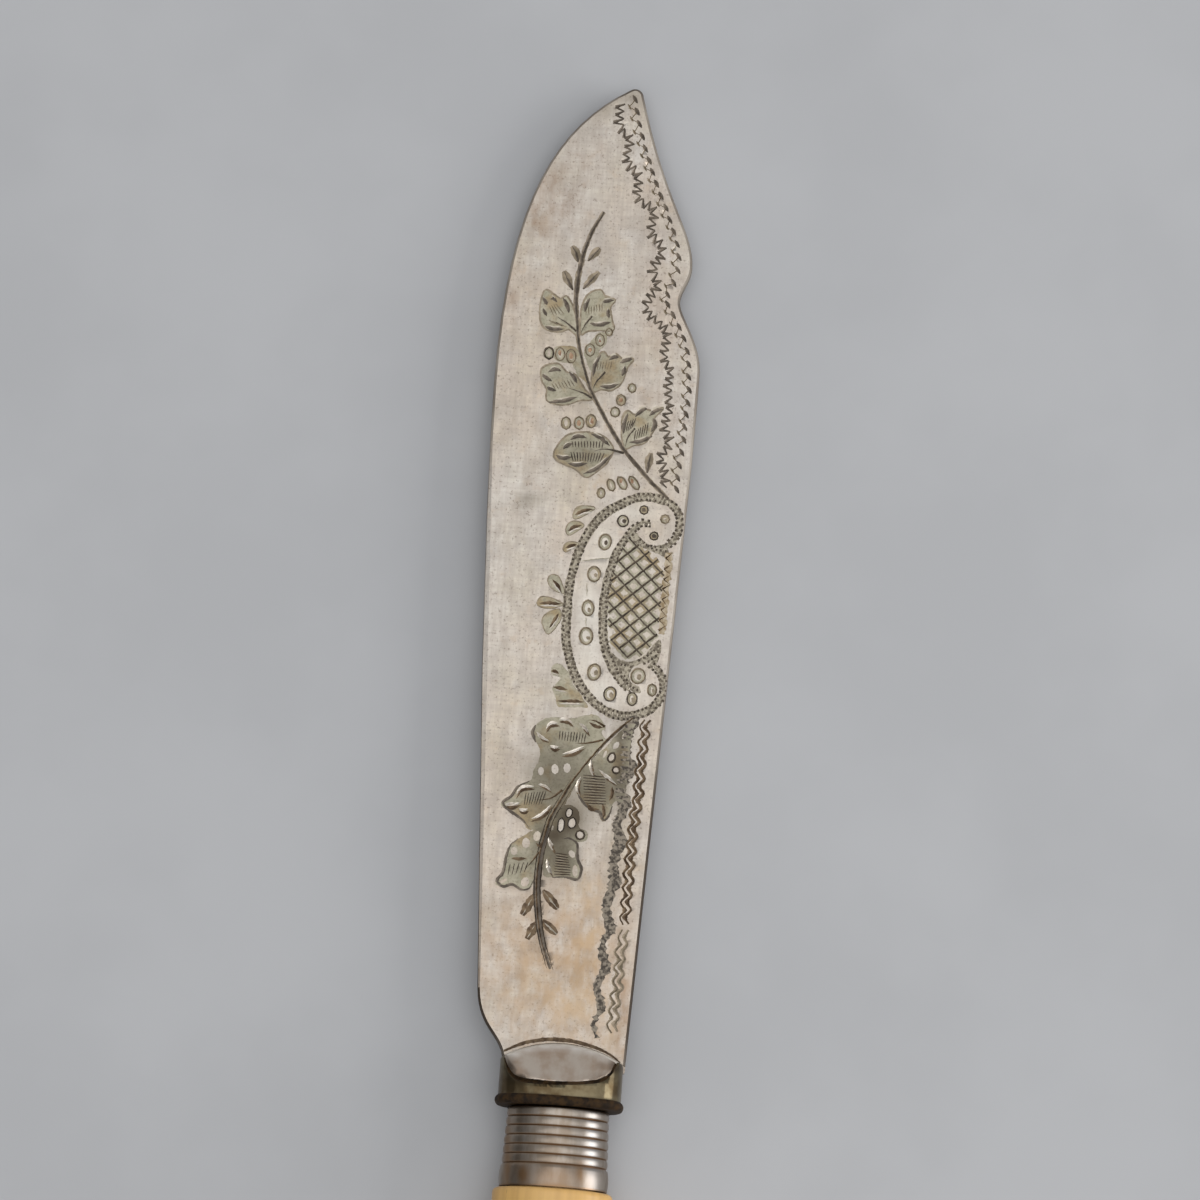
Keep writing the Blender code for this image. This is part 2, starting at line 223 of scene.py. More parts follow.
add_lamp("overhead_softbox", (0.08, -0.04, 0.90), (0, 0.03, 0), (0.9, 0.9), 2.9)
add_lamp("right_window", (0.80, -0.02, 0.30), (0, 0, 0), (0.5, 0.40), 2.8)

floor_bm = bmesh.new()
bmesh.ops.create_grid(floor_bm, x_segments=1, y_segments=1, size=1.5)
floor_mesh = bpy.data.meshes.new("table_top")
floor_bm.to_mesh(floor_mesh)
floor_bm.free()
table_top = bpy.data.objects.new("table_top", floor_mesh)
bpy.context.scene.collection.objects.link(table_top)

# %% [markdown]
# ## Patches: one effect for many finishes
# Tarnish clouds, the linen of a polishing cloth, bone grain and table dust are all the same thing:
# noise that is stretched one way, then cut to a soft mask. A node group does it once.
# Each material places the group with its own stretch, scale and threshold.

# %% Build the patches group
patches = bpy.data.node_groups.new("patches", "ShaderNodeTree")
patches.interface.new_socket("Stretch", in_out="INPUT", socket_type="NodeSocketVector")
for socket in ("Scale", "Low", "High"):
    patches.interface.new_socket(socket, in_out="INPUT", socket_type="NodeSocketFloat")
patches.interface.new_socket("Mask", in_out="OUTPUT", socket_type="NodeSocketFloat")
group_in = patches.nodes.new("NodeGroupInput")
group_out = patches.nodes.new("NodeGroupOutput")
place = add_node(patches, "TexCoord")
stretched = add_node(patches, "VectorMath", {0: place.outputs["Object"], 1: group_in.outputs["Stretch"]},
                     operation="MULTIPLY")
noise = add_node(patches, "TexNoise", {"Vector": stretched.outputs[0], "Scale": group_in.outputs["Scale"],
                                       "Detail": 4.0, "Roughness": 0.55})
cut_off = add_node(patches, "MapRange", {"Value": noise.outputs["Fac"], "From Min": group_in.outputs["Low"],
                                         "From Max": group_in.outputs["High"]},
                   interpolation_type="SMOOTHSTEP")
patches.links.new(cut_off.outputs["Result"], group_out.inputs["Mask"])


def patch_mask(tree, label, stretch, scale, low, high):
    """The patches group in a material, with its own values."""
    values = {"Stretch": stretch, "Scale": scale, "Low": low, "High": high}
    return add_node(tree, "Group", values, node_tree=patches, label=label).outputs["Mask"]


print("group", patches.name, "has", len(patches.nodes), "nodes")

# %% [markdown]
# ## Finishes as layers
# Every finish here is a first colour with others laid over it. A layer shows through its own patches,
# by a share, and a stain shows where its attribute is painted on the mesh. Each finish could be a node tree
# of its own, but one function that lays them in order lets a finish be read like a recipe.

# %% Define how a finish is made


def make_finish(name, metallic, roughness, colour, layers=(), stains=()):
    """A material of a first colour, layers of (name, stretch, scale, low, high, share, tint) and stains."""
    finish = bpy.data.materials.new(name)
    finish.use_nodes = True
    tree = finish.node_tree
    for *patch, share, tint in layers:
        colour = mix_colour(tree, scaled(tree, patch_mask(tree, *patch), share), colour, tint)
    for attribute_name, share, tint in stains:
        strength = patch_mask(tree, *share) if isinstance(share, tuple) else share
        colour = mix_colour(tree, scaled(tree, attribute(tree, attribute_name), strength), colour, tint)
    shader = tree.nodes["Principled BSDF"]
    tree.links.new(colour, shader.inputs["Base Color"])
    shader.inputs["Metallic"].default_value = metallic
    shader.inputs["Roughness"].default_value = roughness
    return finish


even_grain = (1, 1, 1)
print("a finish takes its layers first, then its stains")

# %% [markdown]
# ## The table's finish
# A photographer's grey card: nearly even, with a breath of dust so that it isn't a flat colour.

# %% Finish the table
dust = ("dust", even_grain, 30, 0.35, 0.65, 1, (0.49, 0.492, 0.50))
table_finish = make_finish("grey_card", 0.0, 0.9, (0.46, 0.462, 0.47), [dust])
table_top.data.materials.append(table_finish)
print("table finish", table_finish.name)

# %% [markdown]
# ## The blade's finishes
# Old silver plate is creamy rather than white. A polishing cloth leaves a faint linen of streaks,
# and tarnish gathers in pink-brown blooms near the edge. Where the engraver matted the ground it holds
# an olive tarnish, and the cuts are dark with it. Attributes that are painted on the mesh later,
# such as bloom and grime, say where the stains are.

# %% Finish the plate
small_clouds = ("small clouds", (1, 0.8, 1), 520, 0.40, 0.68)
soft_streaks = ("soft streaks", (1, 0.6, 1), 900, 0.20, 0.80)
plate_layers = [("wide clouds", (1, 0.7, 1), 130, 0.35, 0.65, 1, (0.585, 0.51, 0.425)),
                (*small_clouds, 0.16, (0.44, 0.37, 0.31)),
                ("butter", (1, 0.7, 1), 240, 0.44, 0.70, 0.40, (0.57, 0.50, 0.37)),
                ("frost", (1, 0.8, 1), 300, 0.48, 0.70, 0.30, (0.66, 0.64, 0.61)),
                ("mottle", (1, 0.8, 1), 1500, 0.34, 0.66, 0.26, (0.43, 0.37, 0.315)),
                ("foxing", (1, 0.9, 1), 700, 0.58, 0.72, 0.22, (0.50, 0.34, 0.20)),
                ("down threads", (1, 0.08, 1), 3400, 0.36, 0.64, 0.30, (0.38, 0.32, 0.27)),
                ("cross threads", (0.08, 1, 1), 3400, 0.36, 0.64, 0.26, (0.40, 0.34, 0.30)),
                ("specks", even_grain, 4200, 0.56, 0.70, 0.65, (0.23, 0.185, 0.15))]
plate_stains = [("bloom", soft_streaks, (0.30, 0.19, 0.12)), ("blush", soft_streaks, (0.535, 0.39, 0.235)),
                ("polish", 1, (0.70, 0.66, 0.58)), ("grime_and_shade", 1, (0.20, 0.17, 0.13))]
plate = make_finish("worn_silver_plate", 0.85, 0.45, (0.60, 0.555, 0.49), plate_layers, plate_stains)
tree = plate.node_tree
dullness = patch_mask(tree, *small_clouds)
sheen = add_node(tree, "MapRange", {"Value": dullness, "To Min": 0.42, "To Max": 0.52})
tree.links.new(sheen.outputs["Result"], tree.nodes["Principled BSDF"].inputs["Roughness"])

rim_rub = ("rub", (1, 0.5, 1), 300, 0.35, 0.65, 1, (0.42, 0.37, 0.31))
rim_patina = make_finish("rim_patina", 0.7, 0.5, (0.26, 0.22, 0.18), [rim_rub],
                         [("rim_dark", 1, (0.065, 0.048, 0.034))])
print("finishes", plate.name, rim_patina.name)

# %% Finish the matted ground and the cuts
matted_layers = [("tone", even_grain, 900, 0.3, 0.7, 1, (0.505, 0.46, 0.35)),
                 ("gilding", even_grain, 330, 0.48, 0.66, 0.65, (0.38, 0.265, 0.13)),
                 ("stipple", even_grain, 4200, 0.50, 0.62, 0.35, (0.20, 0.165, 0.12))]
matted = make_finish("matted_ground", 0.6, 0.6, (0.39, 0.36, 0.26), matted_layers,
                     [("grime_and_shade", 1, (0.095, 0.073, 0.047))])


def cut_finish(name, dark, light, metallic, roughness, grime_and_shade=None, scale=1500, spread=0.15):
    """The finish of a cut: two tones in small patches, and a darker one where grime is painted."""
    tones = ("tones", even_grain, scale, 0.5 - spread, 0.5 + spread, 1, light)
    stains = [("grime_and_shade", 1, grime_and_shade)] if grime_and_shade else []
    return make_finish(name, metallic, roughness, dark, [tones], stains)


graver = cut_finish("graver_cut", (0.070, 0.052, 0.038), (0.15, 0.115, 0.080), 0.5, 0.55)
soft_cut = cut_finish("soft_cut", (0.115, 0.092, 0.070), (0.235, 0.19, 0.145), 0.5, 0.55,
                      (0.075, 0.06, 0.047))
brown_cut = cut_finish("brown_cut", (0.085, 0.052, 0.028), (0.21, 0.145, 0.085), 0.5, 0.55)
leaf_edge = cut_finish("leaf_edge", (0.23, 0.185, 0.125), (0.37, 0.30, 0.215), 0.5, 0.58,
                       (0.10, 0.07, 0.045))
# The next two finishes are for painted highlights: light colours on cut flanks, flecks and strokes that
# stand for the lit side of a cut.
highlight_cut = cut_finish("painted_highlight_cut", (0.70, 0.64, 0.56), (0.56, 0.49, 0.41), 0.85, 0.40)
glint = cut_finish("glint", (0.54, 0.48, 0.40), (0.43, 0.38, 0.30), 0.8, 0.45)
ember = cut_finish("berry_stain", (0.25, 0.145, 0.085), (0.46, 0.31, 0.20), 0.6, 0.5)
punched = cut_finish("punched_band", (0.17, 0.14, 0.10), (0.46, 0.405, 0.31), 0.5, 0.6,
                     (0.10, 0.08, 0.06), 3600, 0.10)
scribble = cut_finish("scribble", (0.072, 0.058, 0.045), (0.29, 0.245, 0.19), 0.5, 0.6, None, 2800, 0.10)
honey = cut_finish("honey_tarnish", (0.30, 0.22, 0.125), (0.52, 0.44, 0.32), 0.6, 0.55, None, 2200)
cut_finishes = (graver, soft_cut, brown_cut, leaf_edge, highlight_cut, glint, ember, punched, scribble, honey)
print("finishes", [finish.name for finish in (matted, *cut_finishes)])

# %% [markdown]
# ## The blade's blank
# The CAD blade is copied and brought to the bench. Its loose triangles are merged, and its flat faces are
# made whole and then cut into small squares, so that the stains painted on its points stay local.

# %% Copy the blade to the bench
square = 0.0007
merge_distance = 1e-7
flat_angle = math.radians(0.5)
across_way, along_way, up_way = Matrix.Identity(3)


def bench_copy(node):
    """A merged copy of a CAD node, on the bench."""
    bm = bmesh.new()
    bm.from_mesh(frame["nodes"][node].data)
    bmesh.ops.remove_doubles(bm, verts=bm.verts, dist=merge_distance)
    bmesh.ops.transform(bm, matrix=to_bench, verts=bm.verts)
    bmesh.ops.dissolve_limit(bm, angle_limit=flat_angle, verts=bm.verts, edges=bm.edges)
    return bm


def slice_bm(bm, normal, spacing):
    """Cut every face of a mesh along evenly spaced planes."""
    reach = [vert.co.dot(normal) for vert in bm.verts]
    for step in range(math.ceil(min(reach) / spacing), math.ceil(max(reach) / spacing)):
        everything = bm.verts[:] + bm.edges[:] + bm.faces[:]
        bmesh.ops.bisect_plane(bm, geom=everything, plane_co=normal * spacing * step, plane_no=normal,
                               dist=merge_distance)


def put(name, bm, finishes):
    """An object of a bmesh, with its materials."""
    mesh = bpy.data.meshes.new(name)
    bm.to_mesh(mesh)
    bm.free()
    for finish in finishes:
        mesh.materials.append(finish)
    piece = bpy.data.objects.new(name, mesh)
    bpy.context.scene.collection.objects.link(piece)
    return piece


blank = bench_copy("blade")
rim_steepness = 0.97
for face in blank.faces:
    face.material_index = 1 if abs(face.normal.z) < rim_steepness else 0
slice_bm(blank, across_way, square)
slice_bm(blank, along_way, square)
open_edges = sum(not edge.is_manifold for edge in blank.edges)
print("blank has", len(blank.faces), "faces and", open_edges, "open edges")
blade = put("engraved_blade", blank, [plate, rim_patina])

# %% [markdown]
# ## The engraver's tools
# A graver is a square bar that is pushed corner first, so it leaves a V that swells and tapers.
# A curve with a four-sided section is just that bar. Each set of strokes becomes one curve, is made a mesh,
# pressed flat to the right depth, and taken away from the blade with a Boolean. Strokes of one set don't
# cross, so the solver always sees clean solids. The cut faces keep the cutter's finish.
# A matted ground is a filled outline instead, sunk a hair's breadth, and ovals inside it stay bright.

# %% Define the lines that a graver follows
spindle = (0.2, 0.8, 1, 0.8, 0.2)
even = (0.6, 1, 1, 1, 0.6)
wedge = (1, 0.35)
blunt = (1, 1)
pressure_range = (0.86, 1.14)
oval_points = 8
hand = random.Random(4)


def shaky(reach):
    """A small step aside, as a hand makes it."""
    return Vector((hand.uniform(-reach, reach), hand.uniform(-reach, reach)))


def smoothed(points, closed=False, step=2.5):
    """Picture points at small steps along a smooth line through the given ones."""
    knots = [Vector(point) for point in points]
    count = len(knots)
    line = []
    for index in range(count if closed else count - 1):
        first = knots[index]
        last = knots[(index + 1) % count]
        before = knots[index - 1] if closed or index else first * 2 - last
        after = knots[(index + 2) % count] if closed or index + 2 < count else last * 2 - first
        pieces = max(1, round((last - first).length / step))
        leave = first + (last - before) / 6
        arrive = last - (after - first) / 6
        line += interpolate_bezier(first, leave, arrive, last, pieces + 1)[:-1]
    return line if closed else line + [knots[-1]]


def shifted(strokes, shift):
    """The same strokes, moved in the picture."""
    return [[Vector(point) + Vector(shift) for point in stroke] for stroke in strokes]


def width_share(taper, share):
    """The share of full width at a share of the stroke's length."""
    reach = (len(taper) - 1) * share
    stop = min(int(reach), len(taper) - 2)
    return taper[stop] + (taper[stop + 1] - taper[stop]) * (reach - stop)


def add_spline(curve, points, closed, taper, shake):
    """Add a smooth line to a curve, with an unsteady hand."""
    line = smoothed(points, closed)
    spline = curve.splines.new("POLY")
    spline.points.add(len(line) - 1)
    spline.use_cyclic_u = closed
    for index, point in enumerate(line):
        spline.points[index].co = (*on_face(point + shaky(shake)), 0, 1)
        pressure = hand.uniform(*pressure_range)
        spline.points[index].radius = width_share(taper, index / (len(line) - 1)) * pressure


def oval(across, down, half_width, half_height, lean=0):
    """Picture points round an oval that leans to the right by an angle in degrees."""
    turn = Matrix.Rotation(math.radians(lean), 2)
    ring = []
    for step in range(oval_points):
        angle = math.pi * step / (oval_points / 2)
        spoke = Vector((half_width * math.cos(angle), half_height * math.sin(angle)))
        ring.append(Vector((across, down)) + turn @ spoke)
    return ring


def ovals(places):
    """The outlines of a list of ovals."""
    return [oval(*place) for place in places]


print("a stroke of three points is smoothed to", len(smoothed([(0, 0), (10, 5), (20, 0)])), "points")

# %% Define the graver and the matting tool
stroke_shake = 0.2
outline_shake = 0.5
ground_depth = 0.00003
faint_depth = 0.00004
shallow_depth = 0.00006
light_depth = 0.00008
fine_depth = 0.00010
punch_depth = 0.00012
deep = 0.00014
cutter_merge = 1e-8


def cutter_from(curve, finish, press, height, squares=False):
    """The curve as a closed mesh, pressed to its depth and lifted to the height of the face it cuts."""
    source = bpy.data.objects.new(curve.name, curve)
    bpy.context.scene.collection.objects.link(source)
    bpy.context.view_layer.update()
    shaped = source.evaluated_get(bpy.context.evaluated_depsgraph_get())
    mesh = bpy.data.meshes.new_from_object(shaped)
    bpy.data.objects.remove(source)
    bm = bmesh.new()
    bm.from_mesh(mesh)
    bmesh.ops.remove_doubles(bm, verts=bm.verts, dist=cutter_merge)
    bmesh.ops.scale(bm, vec=(1, 1, press), verts=bm.verts)
    bmesh.ops.translate(bm, vec=(0, 0, height), verts=bm.verts)
    bmesh.ops.recalc_face_normals(bm, faces=bm.faces)
    if squares:
        slice_bm(bm, across_way, square)
        slice_bm(bm, along_way, square)
    for face in bm.faces:
        face.material_index = 0
    return put(curve.name, bm, [finish])


def engrave(piece, cutter):
    """Take a cutter away from a piece, and keep its finish on the new faces."""
    boolean = piece.modifiers.new(cutter.name, "BOOLEAN")
    boolean.solver = "MANIFOLD"
    boolean.material_mode = "TRANSFER"
    boolean.object = cutter
    before = len(piece.data.polygons)
    bpy.context.view_layer.update()
    shaped = piece.evaluated_get(bpy.context.evaluated_depsgraph_get())
    result = bpy.data.meshes.new_from_object(shaped)
    piece.modifiers.clear()
    piece.data = result
    print(cutter.name, "added", len(result.polygons) - before, "faces")
    bpy.data.objects.remove(cutter)


def graver_curve(name, width, capped=True):
    """An empty curve whose section is a graver's: a square bar that stands on its edge."""
    curve = bpy.data.curves.new(name, "CURVE")
    curve.dimensions = "3D"
    curve.bevel_depth = width / 2
    curve.bevel_resolution = 0
    curve.twist_mode = "Z_UP"
    curve.use_fill_caps = capped
    return curve


def cut_lines(name, strokes, width, depth, finish, taper=spindle, closed=False):
    """Engrave a set of strokes, with width in picture pixels and depth in metres."""
    curve = graver_curve(name, width * pixel, not closed)
    for stroke in strokes:
        add_spline(curve, stroke, closed, blunt if closed else taper, stroke_shake)
    engrave(blade, cutter_from(curve, finish, depth / (width * pixel / 2), face_height))


def cut_ground(name, outline, finish, islands=()):
    """Sink a filled outline a little. Ovals inside it stay at the blade's height."""
    curve = bpy.data.curves.new(name, "CURVE")
    curve.dimensions = "2D"
    curve.fill_mode = "BOTH"
    curve.extrude = ground_depth
    add_spline(curve, outline, True, blunt, outline_shake)
    for island in islands:
        add_spline(curve, oval(*island), True, blunt, stroke_shake)
    engrave(blade, cutter_from(curve, finish, 1, face_height, squares=True))


def cut_grounds(name, outlines, finish):
    """Sink one ground after another, each under the name and its number."""
    for number, outline in enumerate(outlines, 1):
        cut_ground(name + "_" + str(number), outline, finish)


print("grounds are", ground_depth * 1e6, "micrometres deep, and the deepest cuts", deep * 1e6)

# %% [markdown]
# ## Leaves of the upper spray
# The spray is a bent stem with leaves and berries. The engraver first matted each leaf and went round it.
# Every outline is a short list of picture points that a smooth closed line goes through.

# %% Sink the upper leaves
leaf_one_left = [
    (546, 290), (542, 298), (540, 313), (543, 326), (552, 331), (562, 331), (569, 329), (577, 334),
    (575, 315), (571, 303), (566, 296), (561, 299), (553, 294)
]
leaf_one_right = [
    (581, 334), (581, 316), (583, 304), (589, 294), (600, 290), (605, 296), (615, 300), (610, 307),
    (612, 321), (613, 330), (598, 330), (587, 331)
]
leaf_two_left = [
    (552, 364), (542, 369), (542, 380), (547, 389), (547, 400), (557, 404), (568, 404), (580, 400),
    (592, 399), (585, 390), (575, 375), (566, 372), (560, 365)
]
leaf_two_right = [
    (593, 391), (592, 376), (597, 358), (604, 352), (608, 357), (616, 354), (622, 359), (633, 359),
    (627, 368), (621, 383), (611, 390), (601, 389)
]
leaf_three_left = [
    (554, 454), (564, 438), (576, 433), (591, 433), (604, 437), (613, 449), (607, 462), (598, 470),
    (586, 477), (576, 469), (560, 462)
]
leaf_three_right = [
    (625, 448), (622, 434), (623, 417), (628, 411), (635, 415), (642, 408), (650, 411), (663, 408),
    (654, 418), (655, 426), (651, 434), (644, 443), (634, 445)
]
upper_leaves = [leaf_one_left, leaf_one_right, leaf_two_left, leaf_two_right, leaf_three_left,
                leaf_three_right]
cut_grounds("upper_leaf", upper_leaves, matted)
cut_lines("upper_leaf_outlines", upper_leaves, 3.0, faint_depth, leaf_edge, closed=True)

# %% [markdown]
# ## Stem, leaflets and veins
# A stem is a wide shallow groove with one dark line down its side. Veins run out of it into the leaves,
# and they are cut after it, because two cuts that meet belong in separate sets.

# %% Cut the upper stem and its leaflets
upper_stem = [
    (604, 212), (593, 230), (585, 249), (580, 268), (577, 286), (576, 304), (577, 322), (578, 338),
    (581, 357), (586, 376), (592, 393), (600, 409), (611, 429), (624, 450), (638, 467), (651, 482),
    (667, 498)
]
upper_leaflets = [
    [(572, 246), (576, 253), (578, 262)], [(600, 248), (595, 253), (588, 261)],
    [(564, 271), (568, 280), (573, 290)], [(599, 272), (591, 280), (583, 289)],
    [(651, 453), (649, 461), (647, 473)]
]
upper_groove_depth = 0.00005
cut_lines("upper_stem_groove", [upper_stem], 6.0, upper_groove_depth, leaf_edge,
          (0.6, 0.9, 1, 0.8, 0.7, 0.7, 0.8, 0.8, 0.7))
cut_lines("upper_leaflet_grooves", upper_leaflets, 8.5, light_depth, leaf_edge, (0.5, 0.95, 1, 0.7, 0.2))
cut_lines("upper_stem_line", [upper_stem], 3.6, deep, soft_cut, (0.7, 1.1, 1.2, 0.8, 0.7, 0.8, 1, 1, 0.8))
cut_lines("upper_leaflet_lines", upper_leaflets, 4.2, deep, soft_cut, (0.3, 0.8, 1, 0.9, 0.4))

# %% Cut the veins and strokes of the upper leaves
upper_veins = [
    [(558, 317), (567, 323), (576, 331)], [(581, 333), (584, 326), (592, 316)],
    [(593, 390), (596, 382), (605, 372)], [(568, 388), (581, 392), (592, 398)],
    [(594, 451), (605, 449), (624, 453)], [(625, 447), (628, 437), (635, 428)]
]
upper_strokes = [
    [(550, 299), (553, 298), (557, 302)], [(543, 297), (545, 301), (547, 305)],
    [(543, 308), (544, 311), (547, 316)], [(545, 326), (553, 329), (564, 329)],
    [(563, 298), (567, 305), (569, 313)], [(585, 312), (586, 305), (590, 298)],
    [(590, 323), (598, 325), (611, 322)], [(602, 302), (608, 301), (614, 300)],
    [(609, 309), (608, 313), (609, 318)], [(593, 377), (595, 365), (601, 355)],
    [(609, 360), (614, 357), (619, 357)], [(620, 363), (626, 360), (633, 359)],
    [(600, 386), (609, 387), (619, 384)], [(625, 366), (624, 371), (622, 376)],
    [(569, 372), (573, 376), (577, 383)], [(548, 372), (555, 369), (561, 371)],
    [(542, 374), (547, 378), (552, 381)], [(547, 387), (551, 389), (556, 391)],
    [(549, 402), (562, 401), (577, 397)], [(591, 434), (601, 438), (610, 446)],
    [(570, 440), (578, 436), (587, 438)], [(563, 449), (568, 445), (573, 443)],
    [(556, 455), (562, 458), (572, 457)], [(568, 463), (576, 465), (587, 463)],
    [(583, 474), (597, 468), (612, 454)], [(623, 434), (624, 424), (628, 413)],
    [(635, 417), (641, 411), (647, 409)], [(649, 416), (655, 411), (663, 409)],
    [(653, 418), (655, 425), (651, 432)], [(629, 442), (641, 441), (652, 436)]
]
# Painted highlights: a light cut on the tip's side of each stroke stands for its lit flank.
cut_lines("upper_bright_flanks", shifted(upper_strokes, (-0.5, -2.3)), 3.6, shallow_depth, glint)
cut_lines("upper_veins", upper_veins, 2.8, deep, soft_cut, (0.3, 0.6, 0.9, 1))
cut_lines("upper_strokes", upper_strokes, 5.4, deep, soft_cut, (0.3, 0.9, 1, 0.9, 0.3))

# %% [markdown]
# ## Hatching
# Fine parallel lines shade the leaves. Each patch is given by the lines that its strokes start and end on,
# and the strokes between them are spread evenly.

# %% Hatch the upper leaves


def hatching(starts, ends, count):
    """Strokes spread evenly between two picture lines, each line given by its two ends."""
    shares = [index / (count - 1) for index in range(count)]
    edges = [[Vector(place) for place in line] for line in (starts, ends)]
    return [[first.lerp(last, share) for first, last in edges] for share in shares]


clear_hatches = (hatching(((572, 441), (603, 441)), ((573, 447), (602, 448)), 11)
                 + hatching(((571, 452), (604, 453)), ((573, 461), (600, 462)), 12)
                 + hatching(((626, 422), (636, 418)), ((624, 433), (631, 429)), 5)
                 + hatching(((636, 430), (648, 423)), ((634, 440), (646, 435)), 6))
faint_hatches = (hatching(((586, 308), (602, 303)), ((586, 315), (602, 311)), 7)
                 + hatching(((598, 362), (612, 361)), ((597, 370), (610, 369)), 6)
                 + hatching(((552, 384), (570, 379)), ((556, 390), (574, 386)), 7)
                 + hatching(((549, 306), (556, 304)), ((554, 316), (564, 314)), 4)
                 + hatching(((549, 320), (556, 322)), ((558, 325), (566, 327)), 3))
cut_lines("clear_hatches", clear_hatches, 2.0, fine_depth, soft_cut, (0.7, 1, 0.6))
cut_lines("faint_hatches", faint_hatches, 1.7, light_depth, leaf_edge, (0.7, 1, 0.6))

# %% [markdown]
# ## Berries
# A berry is an oval with a thin ring round it and a wide tarnished ring inside, so its middle stays bright.
# Some have a brown stain in the middle.

# %% Cut the upper berries
berry_rim = 1.4


def cut_berries(name, places, ring, finish):
    """Cut the tarnished inside of berries, then the ring round each."""
    inside = [(across, down, half_width - berry_rim, half_height - berry_rim, *lean)
              for across, down, half_width, half_height, *lean in places]
    cut_lines(name + "_insides", ovals(inside), 2.6, ground_depth, matted, closed=True)
    cut_lines(name + "_rings", ovals(places), ring, fine_depth, finish, closed=True)


upper_berries = [
    (560, 354, 4.6, 6.4), (571, 356, 4.8, 6.8), (590, 350, 4.6, 6.2), (600, 340, 4.4, 6.2),
    (609, 332, 3.4, 3.8), (632, 388, 3.8, 4.4), (621, 400, 4.4, 5.6), (615, 412, 4.6, 4.8),
    (566, 423, 4.6, 6), (579, 423, 4.6, 6.2), (591, 421, 4.8, 6.4), (601, 493, 3.8, 5),
    (611, 485, 3.6, 6, -20), (622, 483, 3.8, 7, -32), (634, 483, 3.4, 8, -34)
]
first_berry = [(549, 353, 4.4, 6)]
brown_berries = [
    (560, 353, 1.8, 3), (571, 356, 2.2, 3.6), (590, 350, 2, 2.4), (600, 341, 1.4, 1.6),
    (621, 400, 2, 2.8), (579, 423, 2, 3.2), (592, 421, 2, 3.4), (621, 481, 1.8, 2.4),
    (632, 481, 1.6, 2.6)
]
left_berry_ground = [
    (554, 348), (562, 346), (574, 347), (580, 354), (583, 368), (587, 382), (578, 376), (572, 364),
    (560, 362), (554, 358)
]
right_berry_ground = [
    (584, 350), (590, 342), (600, 332), (607, 336), (606, 345), (599, 351), (600, 359), (594, 374),
    (589, 368), (585, 358)
]
cut_ground("left_berry_ground", left_berry_ground, matted, [(560, 354, 3, 5), (571, 356, 3.2, 5)])
cut_ground("right_berry_ground", right_berry_ground, matted, [(590, 350, 3, 4.6), (600, 340, 2.8, 4.6)])
cut_berries("upper_berries", upper_berries, 2.2, leaf_edge)
cut_berries("first_berry", first_berry, 2.6, graver)
cut_grounds("upper_berry_stain", ovals(brown_berries), ember)

# %% [markdown]
# ## The scroll
# A great C-scroll fills the middle: two bands of punched dots with a bright strip between them, set with
# ovals, and a lattice in its mouth. The bands get a matted ground first.

# %% Cut the scroll's grounds
outer_band = [
    (667, 547), (676, 537), (680, 525), (678, 513), (671, 504), (662, 500), (650, 497), (636, 498),
    (624, 503), (610, 510), (599, 519), (590, 530), (579, 551), (574, 567), (570, 582), (568, 597),
    (567, 613), (566, 639), (569, 656), (574, 673), (584, 691), (601, 708), (622, 716), (643, 713),
    (656, 704), (663, 692), (663, 681), (658, 671), (650, 664)
]
inner_band = [
    (651, 524), (643, 523), (634, 529), (624, 541), (616, 554), (611, 569), (607, 584), (604, 600),
    (603, 615), (603, 632), (605, 647), (609, 660), (615, 673), (624, 685), (631, 690)
]
band_width = 9.5
upper_fill = [
    (636, 533), (643, 541), (653, 546), (664, 544), (668, 549), (667, 557), (655, 553), (642, 547),
    (630, 540)
]
lower_fill = [
    (611, 653), (621, 660), (634, 661), (646, 654), (655, 643), (661, 640), (660, 655), (656, 664),
    (648, 662), (639, 664), (632, 669), (629, 676), (632, 683), (639, 687), (641, 693), (633, 692),
    (624, 684), (616, 672)
]
cut_lines("outer_band_ground", [outer_band], band_width, ground_depth, punched,
          (0.6, 1, 1, 1, 1, 1, 1, 0.8))
cut_lines("inner_band_ground", [inner_band], band_width, ground_depth, punched,
          (0.4, 0.8, 1, 1, 1, 1, 0.6))
cut_ground("upper_fill", upper_fill, punched)
cut_ground("lower_fill", lower_fill, punched)

# %% Punch the dots
dot_pitch = 4.7
dot_length = 2.3


def along(path, spacing, start=0.0):
    """Places and directions at even spacing along a line of picture points."""
    places = []
    wanted = start
    walked = 0.0
    for first, last in zip(path, path[1:]):
        length = (last - first).length
        while wanted <= walked + length:
            places.append((first.lerp(last, (wanted - walked) / length), (last - first) / length))
            wanted += spacing
        walked += length
    return places


def dot_row(path, aside, start):
    """Short strokes in a row beside a line, all at about one distance from it."""
    dots = []
    for place, way in along(smoothed(path), dot_pitch, start):
        middle = place + Vector((-way.y, way.x)) * aside + shaky(0.6)
        half = Vector((-way.y, way.x)) * dot_length / 2
        dots.append([middle - half, middle + half])
    return dots


